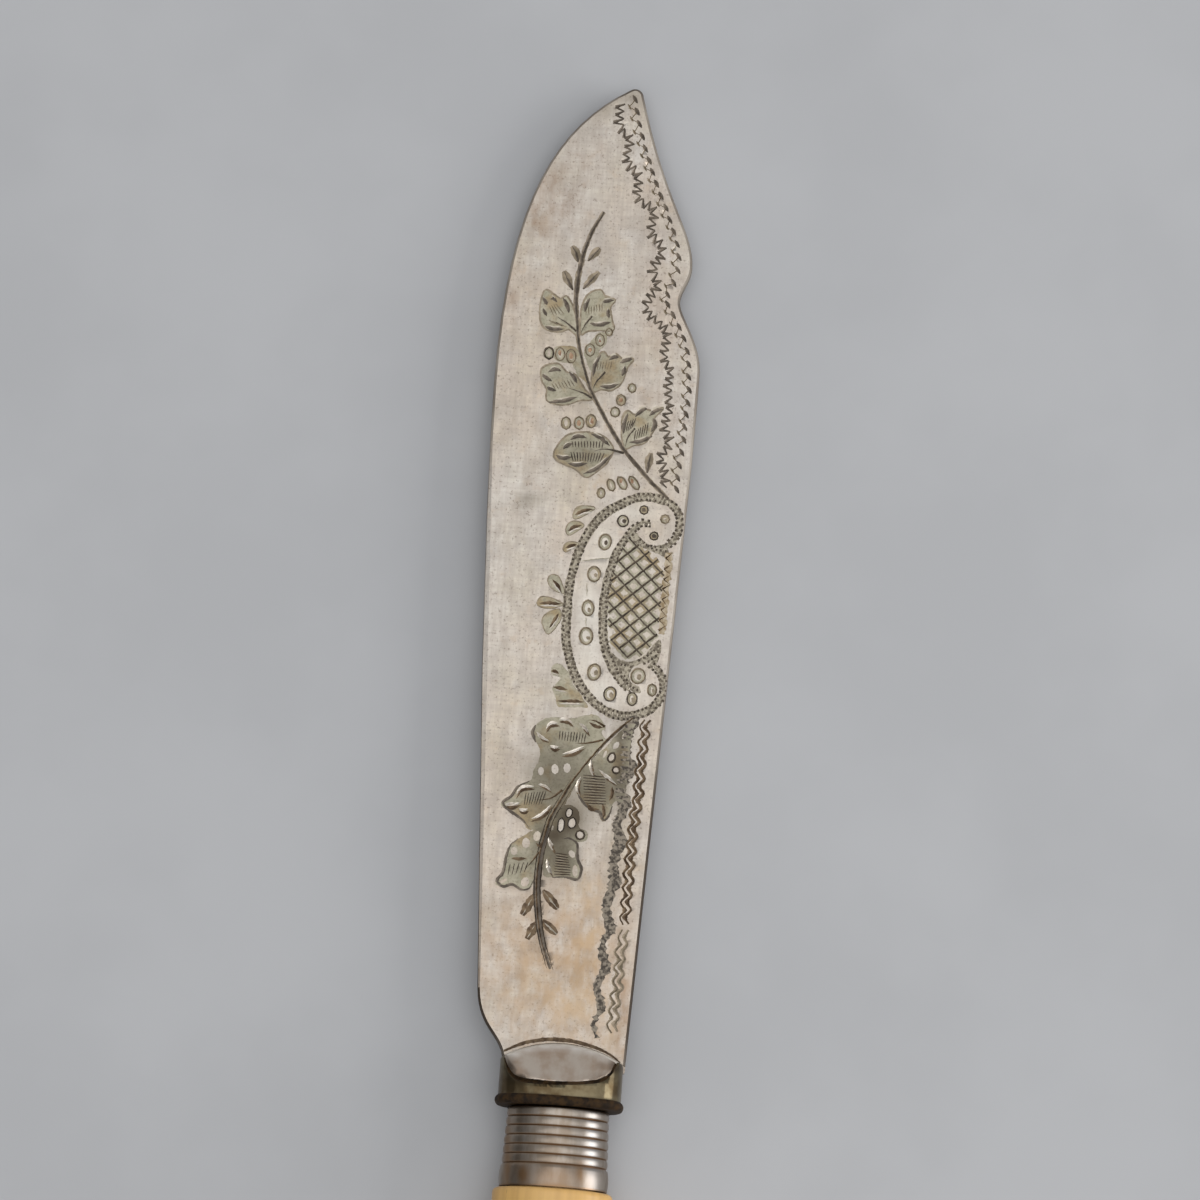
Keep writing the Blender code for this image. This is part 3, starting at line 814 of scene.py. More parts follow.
band_dots = []
band_flecks = []
for band, aside in ((outer_band, 3.1), (inner_band, 2.9)):
    band_dots += dot_row(band, -aside, 1.0)
    band_dots += dot_row(band, aside, 1.0 + dot_pitch / 2)
    band_flecks += dot_row(band, -0.7, 2.2)
fill_lines = [
    [(640, 539), (652, 549), (666, 551)], [(645, 545), (656, 547), (664, 546)], [(620, 664), (630, 667)],
    [(638, 660), (648, 656), (658, 646)], [(643, 664), (652, 660), (659, 652)], [(620, 672), (627, 680)],
    [(632, 687), (638, 691)]
]
for line in fill_lines:
    band_dots += dot_row(line, 0, 1.0)
cut_lines("band_flecks", band_flecks, 1.9, shallow_depth, glint, blunt)
cut_lines("band_dots", band_dots, 2.9, punch_depth, soft_cut, blunt)

# %% [markdown]
# ## The lattice
# Two sets of parallel lines cross in the scroll's mouth. Each line is a dark cut in a wider matted groove,
# and the plate shows bright between them. The lines are clipped to the field where they meet its outline.

# %% Cut the lattice
lattice_field = [
    (628, 537), (645, 549), (657, 556), (664, 575), (661, 600), (658, 630), (655, 642), (641, 656),
    (633, 662), (622, 653), (611, 640), (608, 620), (608, 600), (610, 585), (614, 568), (619, 553)
]
lattice_pitch = 11.7
lattice_reach = 200
shortest_line = 3
falling_lines = (47.5, (631, 540))
rising_lines = (-37.5, (620, 574))


def lattice_lines(angle, through):
    """Parallel lines at one angle, clipped to the lattice's field."""
    way = Vector((math.cos(math.radians(angle)), math.sin(math.radians(angle))))
    side = Vector((-way.y, way.x))
    field_edges = list(zip(lattice_field, lattice_field[1:] + lattice_field[:1]))
    lines = []
    for step in range(-12, 13):
        middle = Vector(through) + side * lattice_pitch * step
        start = middle - way * lattice_reach
        end = middle + way * lattice_reach
        hits = [intersect_line_line_2d(start, end, first, last) for first, last in field_edges]
        ends = [hit for hit in hits if hit]
        if len(ends) > 1 and (ends[0] - ends[1]).length > shortest_line:
            lines.append(ends[:2])
    return lines


falling = lattice_lines(*falling_lines)
rising = lattice_lines(*rising_lines)
cut_lines("falling_grooves", falling, 6.4, ground_depth, matted, blunt)
cut_lines("rising_grooves", rising, 6.4, ground_depth, matted, blunt)
cut_lines("falling_lines", falling, 2.2, fine_depth, soft_cut, blunt)
cut_lines("rising_lines", rising, 2.6, fine_depth, graver, blunt)

# %% Cut the scroll's ovals and its scratches
scroll_ovals = [
    (605, 542, 6, 7.6, 12), (594, 574, 6.4, 7.4), (588, 608, 5.8, 7.6), (586, 636, 6.4, 8.4),
    (594, 672, 6.4, 8, 12), (652, 690, 4.2, 5.8), (638, 676, 6.8, 7.4, 20), (665, 519, 4.2, 4.2)
]
dark_ovals = [
    (644, 510, 4.2, 4.2), (623, 521, 5.4, 5.6), (654, 536, 4.2, 4), (610, 694, 6, 7.2, 12),
    (632, 699, 5, 6.4)
]
oval_stains = [(644, 510, 2.2, 2.2), (624, 521, 2.2, 2.2), (654, 536, 2.8, 2.4), (606, 543, 1.8, 2.6)]
scratches = [[(582, 561), (596, 559), (611, 558)], [(587, 583), (587, 596)], [(586, 617), (586, 626)]]
oval_hearts = [
    (596, 575, 1.8, 2.2), (589, 610, 1.8, 2.4), (588, 638, 2, 2), (596, 673, 2.4, 2.8),
    (639, 677, 2.4, 3), (653, 691, 1.4, 2.2), (611, 695, 2.2, 3), (633, 700, 1.8, 2.4),
    (666, 520, 1.8, 1.6)
]
cut_berries("scroll_ovals", scroll_ovals, 2.2, leaf_edge)
cut_berries("dark_ovals", dark_ovals, 1.8, soft_cut)
cut_grounds("oval_heart", ovals(oval_hearts), leaf_edge)
cut_grounds("oval_stain", ovals(oval_stains), graver)
cut_lines("scratches", scratches, 0.8, ground_depth, matted, even)

# %% [markdown]
# ## The scroll's leaflets
# Small leaves lean on the outer band: three above, a cluster of three in the middle and half-leaves below.

# %% Cut the scroll's leaflets
scroll_leaves = [
    [(573, 515), (577, 507), (587, 506), (595, 508), (585, 515), (575, 519)],
    [(566, 532), (568, 524), (575, 521), (584, 525), (577, 531), (570, 535)],
    [(563, 549), (566, 543), (573, 542), (579, 544), (571, 549), (566, 552)],
    [(548, 579), (551, 575), (558, 576), (562, 584), (564, 593), (556, 591), (550, 586)],
    [(537, 603), (541, 597), (551, 598), (563, 604), (553, 608), (541, 607)],
    [(542, 620), (547, 613), (559, 609), (561, 618), (555, 628), (548, 634), (544, 628)],
    [(558, 663), (551, 668), (553, 675), (560, 678), (556, 684), (552, 689), (556, 698), (557, 706),
     (568, 707), (580, 707), (588, 707), (580, 694), (572, 682), (567, 670)]
]
scroll_leaf_strokes = [
    [(574, 515), (583, 511), (593, 509)], [(568, 531), (574, 527), (582, 525)],
    [(565, 548), (570, 546), (577, 544)], [(552, 579), (557, 585), (562, 593)],
    [(538, 603), (550, 603), (562, 604)], [(549, 628), (554, 621), (559, 613)],
    [(551, 671), (555, 671), (559, 674)], [(553, 687), (560, 688), (568, 690)],
    [(556, 701), (571, 701), (585, 702)]
]
cut_grounds("scroll_leaf", scroll_leaves, matted)
cut_lines("scroll_leaf_outlines", scroll_leaves[:6], 1.6, faint_depth, leaf_edge, closed=True)
# Painted highlights: a light cut on the handle's side of each stroke stands for its lit flank.
cut_lines("scroll_leaf_flanks", shifted(scroll_leaf_strokes, (0.3, 2.6)), 3.4, light_depth, highlight_cut)
cut_lines("scroll_leaf_strokes", scroll_leaf_strokes, 5.2, deep, brown_cut)

# %% [markdown]
# ## The lower spray
# The lower spray is the most tarnished part: its leaves stand in one olive ground, with the berries left
# bright in it. Its right side is nearly black.

# %% Sink the lower grounds
left_ground = [
    (534, 728), (541, 721), (551, 717), (562, 718), (574, 718), (584, 716), (596, 715), (606, 727),
    (601, 732), (606, 741), (599, 750), (590, 762), (582, 775), (574, 788), (567, 801), (561, 814),
    (556, 822), (548, 829), (539, 829), (528, 829), (522, 819), (511, 811), (501, 805), (505, 800),
    (512, 797), (518, 787), (530, 781), (534, 770), (539, 760), (540, 749), (536, 741)
]
left_islands = [(541, 771, 3, 4.2), (555, 769, 3.6, 5.2), (567, 768, 3.8, 5)]
lower_left_leaf = [
    (546, 831), (536, 829), (528, 833), (518, 839), (511, 845), (507, 854), (505, 864), (503, 873),
    (497, 880), (496, 884), (502, 886), (511, 884), (517, 885), (521, 889), (527, 889), (532, 885),
    (535, 876), (538, 864), (541, 850)
]
lower_left_islands = [
    (537, 836, 3.6, 5.4, 15), (526, 843, 4, 5.4), (514, 851, 3.6, 4.2), (525, 882, 4, 5, 25),
    (503, 881, 1.8, 4.4, 60)
]
lower_right_leaf = [
    (548, 834), (553, 830), (560, 838), (570, 839), (577, 843), (578, 851), (577, 860), (581, 869),
    (578, 879), (570, 877), (562, 878), (552, 877), (544, 876), (543, 864), (545, 850)
]
lower_right_islands = [(572, 854, 3, 4.4, -40), (575, 871, 2.8, 6.4)]
right_ground = [
    (608, 745), (614, 738), (622, 730), (630, 722), (637, 719), (634, 727), (631, 742), (629, 760),
    (628, 775), (626, 790), (622, 802), (616, 801), (611, 808), (606, 820), (601, 820), (599, 812),
    (588, 808), (580, 799), (577, 788), (579, 777), (587, 767), (596, 756)
]
right_islands = [
    (616, 745.5, 2.6, 4.4, 40), (625, 735.5, 2.4, 4.4, 35), (605, 754, 1.4, 4, 22),
    (611.5, 757.5, 3.2, 4.8, 25), (616, 770, 3.6, 3.6)
]
cut_ground("left_ground", left_ground, matted, left_islands)
cut_ground("lower_left_leaf", lower_left_leaf, matted, lower_left_islands)
cut_ground("lower_right_leaf", lower_right_leaf, matted, lower_right_islands)
cut_ground("right_ground", right_ground, matted, right_islands)
leaf_edges = [
    [(536, 725), (533, 732), (536, 742)],
    [(530, 781), (518, 787), (512, 796), (503, 803), (511, 811), (522, 819), (529, 828)],
    [(518, 839), (511, 845), (507, 854), (505, 864), (503, 873), (497, 881), (503, 886), (512, 884),
     (521, 889), (529, 888), (534, 879)],
    [(560, 838), (570, 839), (577, 844), (577, 858), (581, 869), (577, 879), (566, 877), (552, 877)],
    [(577, 788), (581, 799), (590, 808), (600, 812), (603, 820), (608, 816), (612, 806)]
]
berry_ground = [
    (556, 812), (566, 805), (576, 808), (580, 817), (579, 827), (587, 832), (586, 840), (578, 842),
    (568, 837), (560, 840), (553, 834)
]
berry_islands = [
    (569, 813, 3.0, 4.6, 15), (572, 823, 3.6, 5.2, 15), (561, 825, 3, 7, 8), (580, 835, 4, 4.2)
]
cut_ground("berry_ground", berry_ground, matted, berry_islands)
cut_lines("leaf_edges", leaf_edges, 4.0, light_depth, soft_cut, (0.4, 0.9, 1, 0.9, 0.4))

# %% Cut the lower stem
lower_stem = [
    (634, 718), (620, 729), (606, 742), (590, 760), (574, 780), (562, 799), (551, 818), (546, 833),
    (541, 852), (538, 872), (537, 892), (538, 911), (540, 930), (544, 949), (550, 969)
]
lower_leaflets = [
    [(535, 894), (529, 904), (522, 915)], [(536, 922), (532, 930), (527, 939)],
    [(542, 920), (549, 927), (557, 934)], [(543, 890), (550, 899), (558, 909)]
]
leaflet_taper = (0.3, 0.8, 1, 0.9, 0.5)
low_stem = lower_stem[4:]
lower_groove_depth = 0.00007
leaflet_depth = 0.00009
cut_lines("lower_stem_groove", [lower_stem], 7.0, lower_groove_depth, soft_cut,
          (0.3, 0.4, 0.5, 0.8, 1, 1, 0.8, 0.4))
cut_lines("lower_leaflet_grooves", lower_leaflets, 9.5, leaflet_depth, brown_cut, leaflet_taper)
cut_lines("lower_leaflet_middles", lower_leaflets, 4.4, fine_depth, glint, leaflet_taper)
cut_lines("lower_stem_line", shifted([lower_stem], (-0.6, -0.4)), 2.6, deep, brown_cut,
          (0.7, 0.9, 1, 1, 1, 1, 0.8, 0.4))
stem_sides = shifted([low_stem], (-3.2, -1)) + shifted([low_stem], (3.0, 1))
cut_lines("lower_stem_sides", stem_sides, 1.7, fine_depth, graver, (0.4, 0.9, 1, 1, 0.8, 0.3))

# %% Cut the veins and strokes of the lower leaves
lower_veins = [
    [(575, 743), (588, 743), (603, 740)], [(539, 800), (551, 798), (562, 790)],
    [(527, 867), (533, 860), (539, 852)], [(588, 720), (596, 721), (605, 727)]
]
lower_strokes = [
    [(559, 722), (567, 722), (574, 727)], [(546, 733), (551, 726), (560, 726)],
    [(561, 757), (574, 754), (586, 748)], [(550, 748), (555, 750), (560, 749)],
    [(516, 799), (522, 790), (536, 789)], [(505, 807), (512, 808), (521, 805)],
    [(519, 811), (524, 813), (529, 811)], [(530, 822), (542, 817), (553, 806)],
    [(511, 858), (519, 859), (527, 858)], [(585, 802), (592, 809), (600, 809)],
    [(612, 786), (612, 795), (609, 801)], [(602, 803), (604, 812), (603, 819)],
    [(536, 843), (540, 846), (543, 842)], [(589, 722), (595, 726), (604, 728)]
]
bright_strokes = [
    [(579, 723), (584, 727), (589, 735)], [(536, 731), (541, 737), (549, 741)],
    [(538, 784), (545, 786), (551, 791)], [(505, 804), (510, 804), (516, 803)],
    [(591, 759), (591, 768), (594, 777)], [(581, 776), (577, 786), (580, 797)],
    [(598, 769), (607, 777), (617, 785)], [(548, 836), (551, 845), (555, 853)],
    [(547, 858), (548, 867), (552, 875)]
]
# Painted light: light cuts on the tip's side of the first eight strokes stand for their lit flanks, the
# bright strokes are painted highlights, and a brown cut on each bright stroke's handle side is painted
# shade.
cut_lines("lower_bright_flanks", shifted(lower_strokes[:8], (-0.6, -2.8)), 5.0, fine_depth, highlight_cut)
cut_lines("lower_strokes", lower_strokes, 5.0, deep, brown_cut)
cut_lines("lower_veins", lower_veins, 3.0, deep, brown_cut, (0.3, 0.6, 0.9, 1))
cut_lines("bright_stroke_shades", shifted(bright_strokes, (1.1, 2.2)), 4.6, fine_depth, brown_cut)
cut_lines("bright_strokes", bright_strokes, 4.8, deep, highlight_cut)
lower_hatches = (hatching(((560, 731), (586, 733)), ((559, 740), (584, 743)), 10)
                 + hatching(((526, 793), (546, 791)), ((524, 805), (541, 804)), 8)
                 + hatching(((510, 864), (528, 862)), ((508, 875), (524, 872)), 5))
dark_hatches = (hatching(((583, 775), (584, 803)), ((605, 777), (606, 804)), 11)
                + hatching(((556, 853), (554, 874)), ((568, 855), (571, 875)), 9))
cut_lines("lower_hatches", lower_hatches, 1.7, fine_depth, soft_cut, (0.7, 1, 0.6))
cut_lines("dark_hatches", dark_hatches, 2.0, fine_depth, graver, (0.6, 1, 0.6))
cut_lines("light_hatches", shifted(dark_hatches, (0, 1.4)), 1.3, light_depth, glint, (0.6, 1, 0.6))
lower_berries = [(569, 813, 3.4, 5, 15), (572, 823, 4, 5.6, 15), (561, 825, 3.4, 7.4, 8)]
ringed_berries = [(580, 835, 4.6, 4.8), (611.5, 757.5, 3.6, 5.2, 25), (616, 770, 3.8, 3.8)]
cut_lines("lower_berry_rings", ovals(lower_berries), 1.6, fine_depth, soft_cut, closed=True)
cut_lines("dark_berry_rings", ovals(ringed_berries), 2.6, fine_depth, graver, closed=True)

# %% [markdown]
# ## The borders
# Two borders run along the spine. The inner one is wriggle work: the graver is rocked from side to side
# while it goes forward, which leaves a zigzag. Further down it is so dense that it is cut as one
# rough-edged ribbon with bright flecks. The outer one is a chain of ticks at first, and then a braid:
# two waves side by side, which swell where they turn. The legs of a zigzag meet at their ends,
# so the odd legs and the even legs are two sets.

# %% Cut the inner border
upper_wriggle = [
    (621, 104), (619, 127), (630, 138), (626, 161), (639, 177), (637, 198), (654, 211), (650, 232),
    (663, 251), (652, 270), (658, 286), (645, 307), (660, 324), (668, 335), (663, 357), (671, 371),
    (667, 388), (670, 407), (664, 428), (670, 443), (660, 459), (666, 476), (661, 489)
]
scribble_path = [
    (633, 716, 6), (632, 723, 7.2), (628.5, 733, 5), (626.5, 745, 4.6), (627, 757, 5.5),
    (629.5, 767, 7.6), (625, 778, 6), (620.5, 789, 5.6), (625, 803, 6.6), (620.5, 816, 5.2),
    (617, 830, 4.8), (621, 841, 7.2), (615.5, 855, 5.4), (612.8, 867, 4.6), (615.5, 880, 6.6),
    (611, 892, 5), (607, 905, 4.6), (608, 917, 4.4), (611, 930, 6), (604, 940, 4.2), (602.5, 951, 4),
    (605, 968, 5.4), (599.5, 979, 4.4), (597, 988, 3.8), (600, 1000, 4), (601.5, 1009, 4.2),
    (595, 1019, 3), (594, 1029, 2.4), (597, 1038, 1.8)
]
odd_leg_depth = 0.00011
even_leg_depth = 0.00009


def ragged(path, shake):
    """An outline with rough edges round (across, down, half width) points that go down the picture."""
    line = smoothed(path, step=2.2)
    left = [(point.x - point.z + hand.uniform(-shake, shake), point.y) for point in line]
    right = [(point.x + point.z + hand.uniform(-shake, shake), point.y) for point in line]
    return left + right[::-1]


def zigzag(path, pitch, reach, shake):
    """The corners of a zigzag along a line, drawn by an unsteady hand."""
    corners = []
    for index, (place, way) in enumerate(along(smoothed(path), pitch / 2)):
        aside = Vector((-way.y, way.x)) * reach / 2 * (1 if index % 2 else -1)
        corners.append(place + aside + shaky(shake))
    return corners


def cut_zigzag(name, corners, widths, finish, taper=wedge):
    """Cut the legs of a zigzag as its odd legs and then its even legs."""
    legs = [[first, last] for first, last in zip(corners, corners[1:])]
    cut_lines(name + "_odd", legs[::2], widths[0], odd_leg_depth, finish, taper[::-1])
    cut_lines(name + "_even", legs[1::2], widths[1], even_leg_depth, finish, taper)


cut_zigzag("upper_wriggle", zigzag(upper_wriggle, 7.4, 9.0, 0.9), (3.4, 2.8), soft_cut, (1, 0.5))
cut_ground("scribble", ragged(scribble_path, 1.7), scribble)
scribble_middle = [point[:2] for point in scribble_path]
half_fleck = 1.4
scribble_flecks = []
for place, way in along(smoothed(scribble_middle), 5.0, 3.0):
    fleck = [place - way * half_fleck, place + way * half_fleck]
    scribble_flecks += shifted([fleck], shaky(3.2))
cut_lines("scribble_flecks", scribble_flecks, 2.2, light_depth, glint)

# %% Cut the outer border
outer_ticks = [
    (632, 100), (636, 124), (642, 148), (649, 170), (656, 190), (662, 207), (670, 228), (675, 250),
    (675, 268), (670, 284), (664, 298), (668, 312), (676, 328), (682, 343), (685, 358), (686, 394),
    (683, 416), (681, 439), (677, 462), (674, 483), (673, 493)
]
scroll_ticks = [(669, 553), (667, 579), (664, 608), (661, 634)]
rope = [
    (646, 720), (644, 740), (642.5, 755), (640.5, 770), (639, 785), (637.5, 800), (635, 815),
    (633.5, 830), (632, 845), (630, 860), (629, 875), (628, 890), (625.5, 912), (624, 931)
]
low_rope = [(624, 930), (621, 951), (619, 970), (617, 988), (615.5, 1000), (613.5, 1018), (612.5, 1036)]
right_tick = Vector((2.3, 4.0))
left_tick = Vector((1.6, 2.8))
chain = zigzag(outer_ticks, 12.6, 6, 0.5)
cut_zigzag("tick_threads", chain, (0.9, 0.7), honey, blunt)
right_ticks = [[corner - right_tick, corner + right_tick] for corner in chain[::2]]
left_ticks = [[corner - left_tick, corner + left_tick] for corner in chain[1::2]]
cut_lines("right_ticks", right_ticks, 4.0, punch_depth, soft_cut, (0.3, 0.9, 1, 0.7, 0.2))
cut_lines("left_ticks", left_ticks, 2.6, fine_depth, leaf_edge)
cut_ground("scroll_tick_ground", ragged([(*place, 3.6) for place in scroll_ticks], 1.4), honey)
cut_zigzag("scroll_ticks", zigzag(scroll_ticks, 10.5, 6.4, 0.8), (2.6, 2.0), brown_cut)


def every_other(corners, first):
    """Short strokes round every other corner of a zigzag, from mid-leg to mid-leg."""
    strokes = []
    for before, corner, after in list(zip(corners, corners[1:], corners[2:]))[first - 1::2]:
        strokes.append([(before + corner) / 2, corner, (corner + after) / 2])
    return strokes


wave_pitch = 14.7
for name, path, finish, shake in (("braid", rope, brown_cut, 0.5), ("low_braid", low_rope, leaf_edge, 0.9)):
    right_path, left_path = (shifted([path], (aside, 0))[0] for aside in (2.4, -3.4))
    right_wave = zigzag(right_path, wave_pitch, 4.6, shake)
    left_wave = zigzag(left_path, wave_pitch, 4.0, shake)
    cut_lines(name + "_right_wave", [right_wave], 3.5, fine_depth, finish, even)
    cut_lines(name + "_crescents", every_other(right_wave, 1), 6.0, punch_depth, finish, (0.3, 1, 0.4))
    cut_lines(name + "_left_wave", [left_wave], 2.7, fine_depth, finish, even)
    cut_lines(name + "_dots", every_other(left_wave, 2), 5.2, punch_depth, finish, (0.2, 1, 0.2))

# %% [markdown]
# ## The line in front of the bolster
# Where the bolster's jaw meets the blade a dark brown seam is cut.

# %% Cut the seam at the jaw
jaw_seam = [
    (504, 1051), (515, 1046), (528, 1042), (545, 1039.5), (557, 1039.5), (571, 1041), (586, 1044.5),
    (601, 1050), (612, 1056), (620, 1063)
]
cut_lines("jaw_seam", [jaw_seam], 4.2, shallow_depth, brown_cut, (0.5, 0.9, 1, 1, 0.9, 0.7, 0.4))

# %% [markdown]
# ## Stains on the blade
# Bloom is the brown tarnish near the edge and in front of the bolster, and blush is a lighter, honey tone.
# Polish is where the plate was rubbed bright, and grime is a dark film, thickest in the lower spray.
# An image could be painted for them, but soft ovals are shorter: each has its middle, its half sizes
# and its strength, and a point keeps the sum. The bright islands in the grounds are then wiped clean.

# %% Paint the stains
bloom_spots = [
    (553, 192, 28, 34, 0.45), (536, 226, 12, 16, 0.55), (580, 161, 9, 8, 0.75), (510, 290, 10, 60, 0.5),
    (600, 150, 10, 12, 0.3), (550, 965, 100, 120, 0.75), (655, 240, 14, 70, 0.2),
    (640, 330, 40, 60, 0.12), (590, 960, 34, 80, 0.35), (622, 1010, 8, 50, 0.8), (540, 200, 60, 60, 0.2),
    (596, 1040, 6, 12, 0.6), (624, 1040, 7, 26, 0.9), (616, 1052, 7, 12, 0.6), (660, 380, 24, 110, 0.22)
]
blush_spots = [
    (597, 482, 20, 18, 0.5), (590, 930, 24, 70, 0.40), (575, 1005, 30, 30, 0.35), (585, 887, 10, 14, 0.4),
    (612, 1020, 12, 40, 0.5), (535, 430, 40, 60, 0.15), (550, 975, 90, 110, 0.42),
    (540, 290, 30, 80, 0.15)
]
polish_spots = [
    (590, 610, 14, 70, 0.5), (606, 545, 14, 24, 0.5), (636, 512, 26, 12, 0.5), (602, 692, 20, 14, 0.5),
    (640, 696, 14, 12, 0.4)
]
grime_spots = [
    (632, 96, 18, 14, 0.5), (604, 108, 18, 13, 0.4), (583, 128, 12, 16, 0.25), (600, 788, 24, 28, 0.64),
    (562, 860, 20, 24, 0.85), (540, 860, 10, 60, 0.5), (622, 770, 10, 50, 0.7), (520, 862, 16, 20, 0.3),
    (612, 880, 8, 50, 0.25), (530, 500, 14, 10, 0.15), (572, 820, 22, 22, 0.95), (552, 836, 14, 14, 0.6),
    (625, 650, 20, 14, 0.3), (555, 775, 45, 55, 0.65), (528, 500, 14, 8, 0.5), (585, 455, 32, 22, 0.4),
    (538, 920, 8, 40, 0.3), (620, 730, 14, 20, 0.5), (590, 375, 40, 36, 0.25)
]
rim_spots = [
    (652, 860, 50, 200, 1.0), (640, 1010, 50, 90, 1.0), (484, 1010, 40, 110, 1.0), (632, 92, 24, 18, 0.7),
    (478, 800, 30, 240, 0.6), (690, 262, 20, 30, 0.4), (686, 310, 20, 20, 0.5)
]
spot_fade = 1.5
spot_end = 4


def stain(spots, place):
    """The sum of soft spots at a place on the bench, at most 1."""
    point = in_picture(place)
    total = 0.0
    for across, down, half_width, half_height, strength in spots:
        reach = ((point.x - across) / half_width) ** 2 + ((point.y - down) / half_height) ** 2
        total += strength * math.exp(-spot_fade * reach) if reach < spot_end else 0
    return min(1.0, total)


def paint(piece, name, spots, both_sides=True):
    """Keep the stain at each point of a piece under a name, for its finish to read."""
    layer = piece.data.attributes.new(name, "FLOAT", "POINT")
    values = [stain(spots, vert.co) if both_sides or vert.co.z > 0 else 0.0 for vert in piece.data.vertices]
    layer.data.foreach_set("value", values)


for name, spots in (("bloom", bloom_spots), ("polish", polish_spots), ("grime_and_shade", grime_spots)):
    paint(blade, name, spots, both_sides=False)
paint(blade, "blush", blush_spots)
paint(blade, "rim_dark", rim_spots)
print("stains on", len(blade.data.vertices), "points")

# %% Keep the islands clean
islands = left_islands + lower_left_islands + lower_right_islands + right_islands + berry_islands
island_grime = 0.2
island_margin = 1
face_touch = 1e-6


def on_island(place):
    """Whether a place is on a bright island: at the blade's height, near an island's middle."""
    if place.z < face_height - face_touch:
        return False
    point = in_picture(place)
    return any((point - Vector(island[:2])).length < island[3] + island_margin for island in islands)


cleaned = 0
for vert, grime_and_shade in zip(blade.data.vertices, blade.data.attributes["grime_and_shade"].data):
    if grime_and_shade.value > island_grime and on_island(vert.co):
        grime_and_shade.value = island_grime
        cleaned += 1
print("cleaned", cleaned, "points on", len(islands), "islands")

# %% [markdown]
# ## The blade's map, and its place
# An unwrap by angle would break the engraving into thousands of islands. The blade is flat, so its map is
# simply its plan: the ornamented side on the left half of the square, and the plain side and the rim
# on the right half. Then the blade leaves the bench and takes the CAD blade's place.

# %% Map the blade and lay it on the table
margin = 0.0012
faces_up = 0.05
columns = list(zip(*(vert.co.xy for vert in blade.data.vertices)))
low = Vector([min(column) - margin for column in columns])
span = Vector([max(column) + margin for column in columns]) - low
bake_map = blade.data.uv_layers.new(name="OFBake")
for polygon in blade.data.polygons:
    engraved = polygon.normal.z > faces_up or polygon.material_index > 1
    skirt = Vector() if engraved else polygon.normal.xy.normalized()
    for corner in polygon.loop_indices:
        co = blade.data.vertices[blade.data.loops[corner].vertex_index].co
        flat = co.xy if engraved else co.xy + skirt * (co.z + face_height)
        across = (flat.x - low.x) / span.x / 2
        bake_map.data[corner].uv = (across if engraved else 1 - across, (flat.y - low.y) / span.y)


def finish_piece(piece, node, sharp=30):
    """Smooth a piece up to an angle, take it to the table and let it stand for a CAD node."""
    piece.data.shade_smooth()
    piece.data.set_sharp_from_angle(angle=math.radians(sharp))
    piece.data.transform(to_table)
    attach(piece, "root")
    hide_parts(node)
    triangles = sum(len(polygon.vertices) - 2 for polygon in piece.data.polygons)
    print(piece.name, "has", triangles, "triangles")


finish_piece(blade, "blade", 4)

# %% [markdown]
# ## The bolster
# The bolster is one casting. Its CAD solid has the right form but knife-sharp edges, so a merged copy gets
# its edges rounded with a bevel, which is what years of polishing do. The jaw's front edge is worn most,
# and bright. A painted highlight runs along the pad behind it, and painted shade darkens the pad's ends.
# A groove goes round the lower side of the pad. It lies on a curved surface, so each of its
# points is found by looking from the camera until the ray meets the bolster.

# %% Finish the bolster's metal
# On the bolster the light stain is a painted highlight along the pad's front, and the dark stain is painted
# shade at the pad's ends and lower corners.
nickel = make_finish("tarnished_nickel_silver", 0.9, 0.36, (0.19, 0.155, 0.092),
                     [("clouds", even_grain, 420, 0.38, 0.62, 1, (0.095, 0.066, 0.033))],
                     [("grime_and_shade", 1, (0.03, 0.022, 0.014))])
pad_metal = make_finish("worn_pad", 0.85, 0.42, (0.56, 0.485, 0.41),
                        [("clouds", (1, 0.5, 1), 520, 0.35, 0.68, 1, (0.43, 0.325, 0.245))],
                        [("painted_highlight", 1, (0.86, 0.81, 0.75)), ("grime_and_shade", 1, (0.07, 0.048, 0.03))])
old_polish = cut_finish("old_polish", (0.018, 0.012, 0.008), (0.050, 0.028, 0.012), 0.0, 0.6)
old_polish.node_tree.nodes["Principled BSDF"].inputs["Specular IOR Level"].default_value = 0.08
worn_rim = cut_finish("worn_rim", (0.62, 0.57, 0.50), (0.54, 0.48, 0.41), 0.1, 0.45)
bolster_finishes = [nickel, pad_metal, old_polish, worn_rim]
print("finishes", [finish.name for finish in bolster_finishes])

# %% Round the bolster
flange_front = 0.00125
drum_half = 0.00605
drum_flatness = 0.0082 / 0.0121
drum_squareness = 3.0
edge_round = 0.00010
jaw_round = 0.00036
bolster_square = 0.0004
facet_dip = 0.995
sharp_angle = math.radians(40)
rim_slot = bolster_finishes.index(worn_rim)
bolster_bm = bench_copy("bolster")
for face in bolster_bm.faces:
    middle = face.calc_center_median()
    is_pad = middle.y > flange_front and face.normal.y > 0.3 and abs(face.normal.z) > 0.5
    face.material_index = 1 if is_pad else 2 if middle.y < flange_front else 0


def is_jaw_edge(edge):
    """Whether an edge lies between a pad and the jaw's front."""
    kinds = sorted(face.material_index for face in edge.link_faces)
    return kinds == [0, 1] and max(face.normal.y for face in edge.link_faces) > 0.85


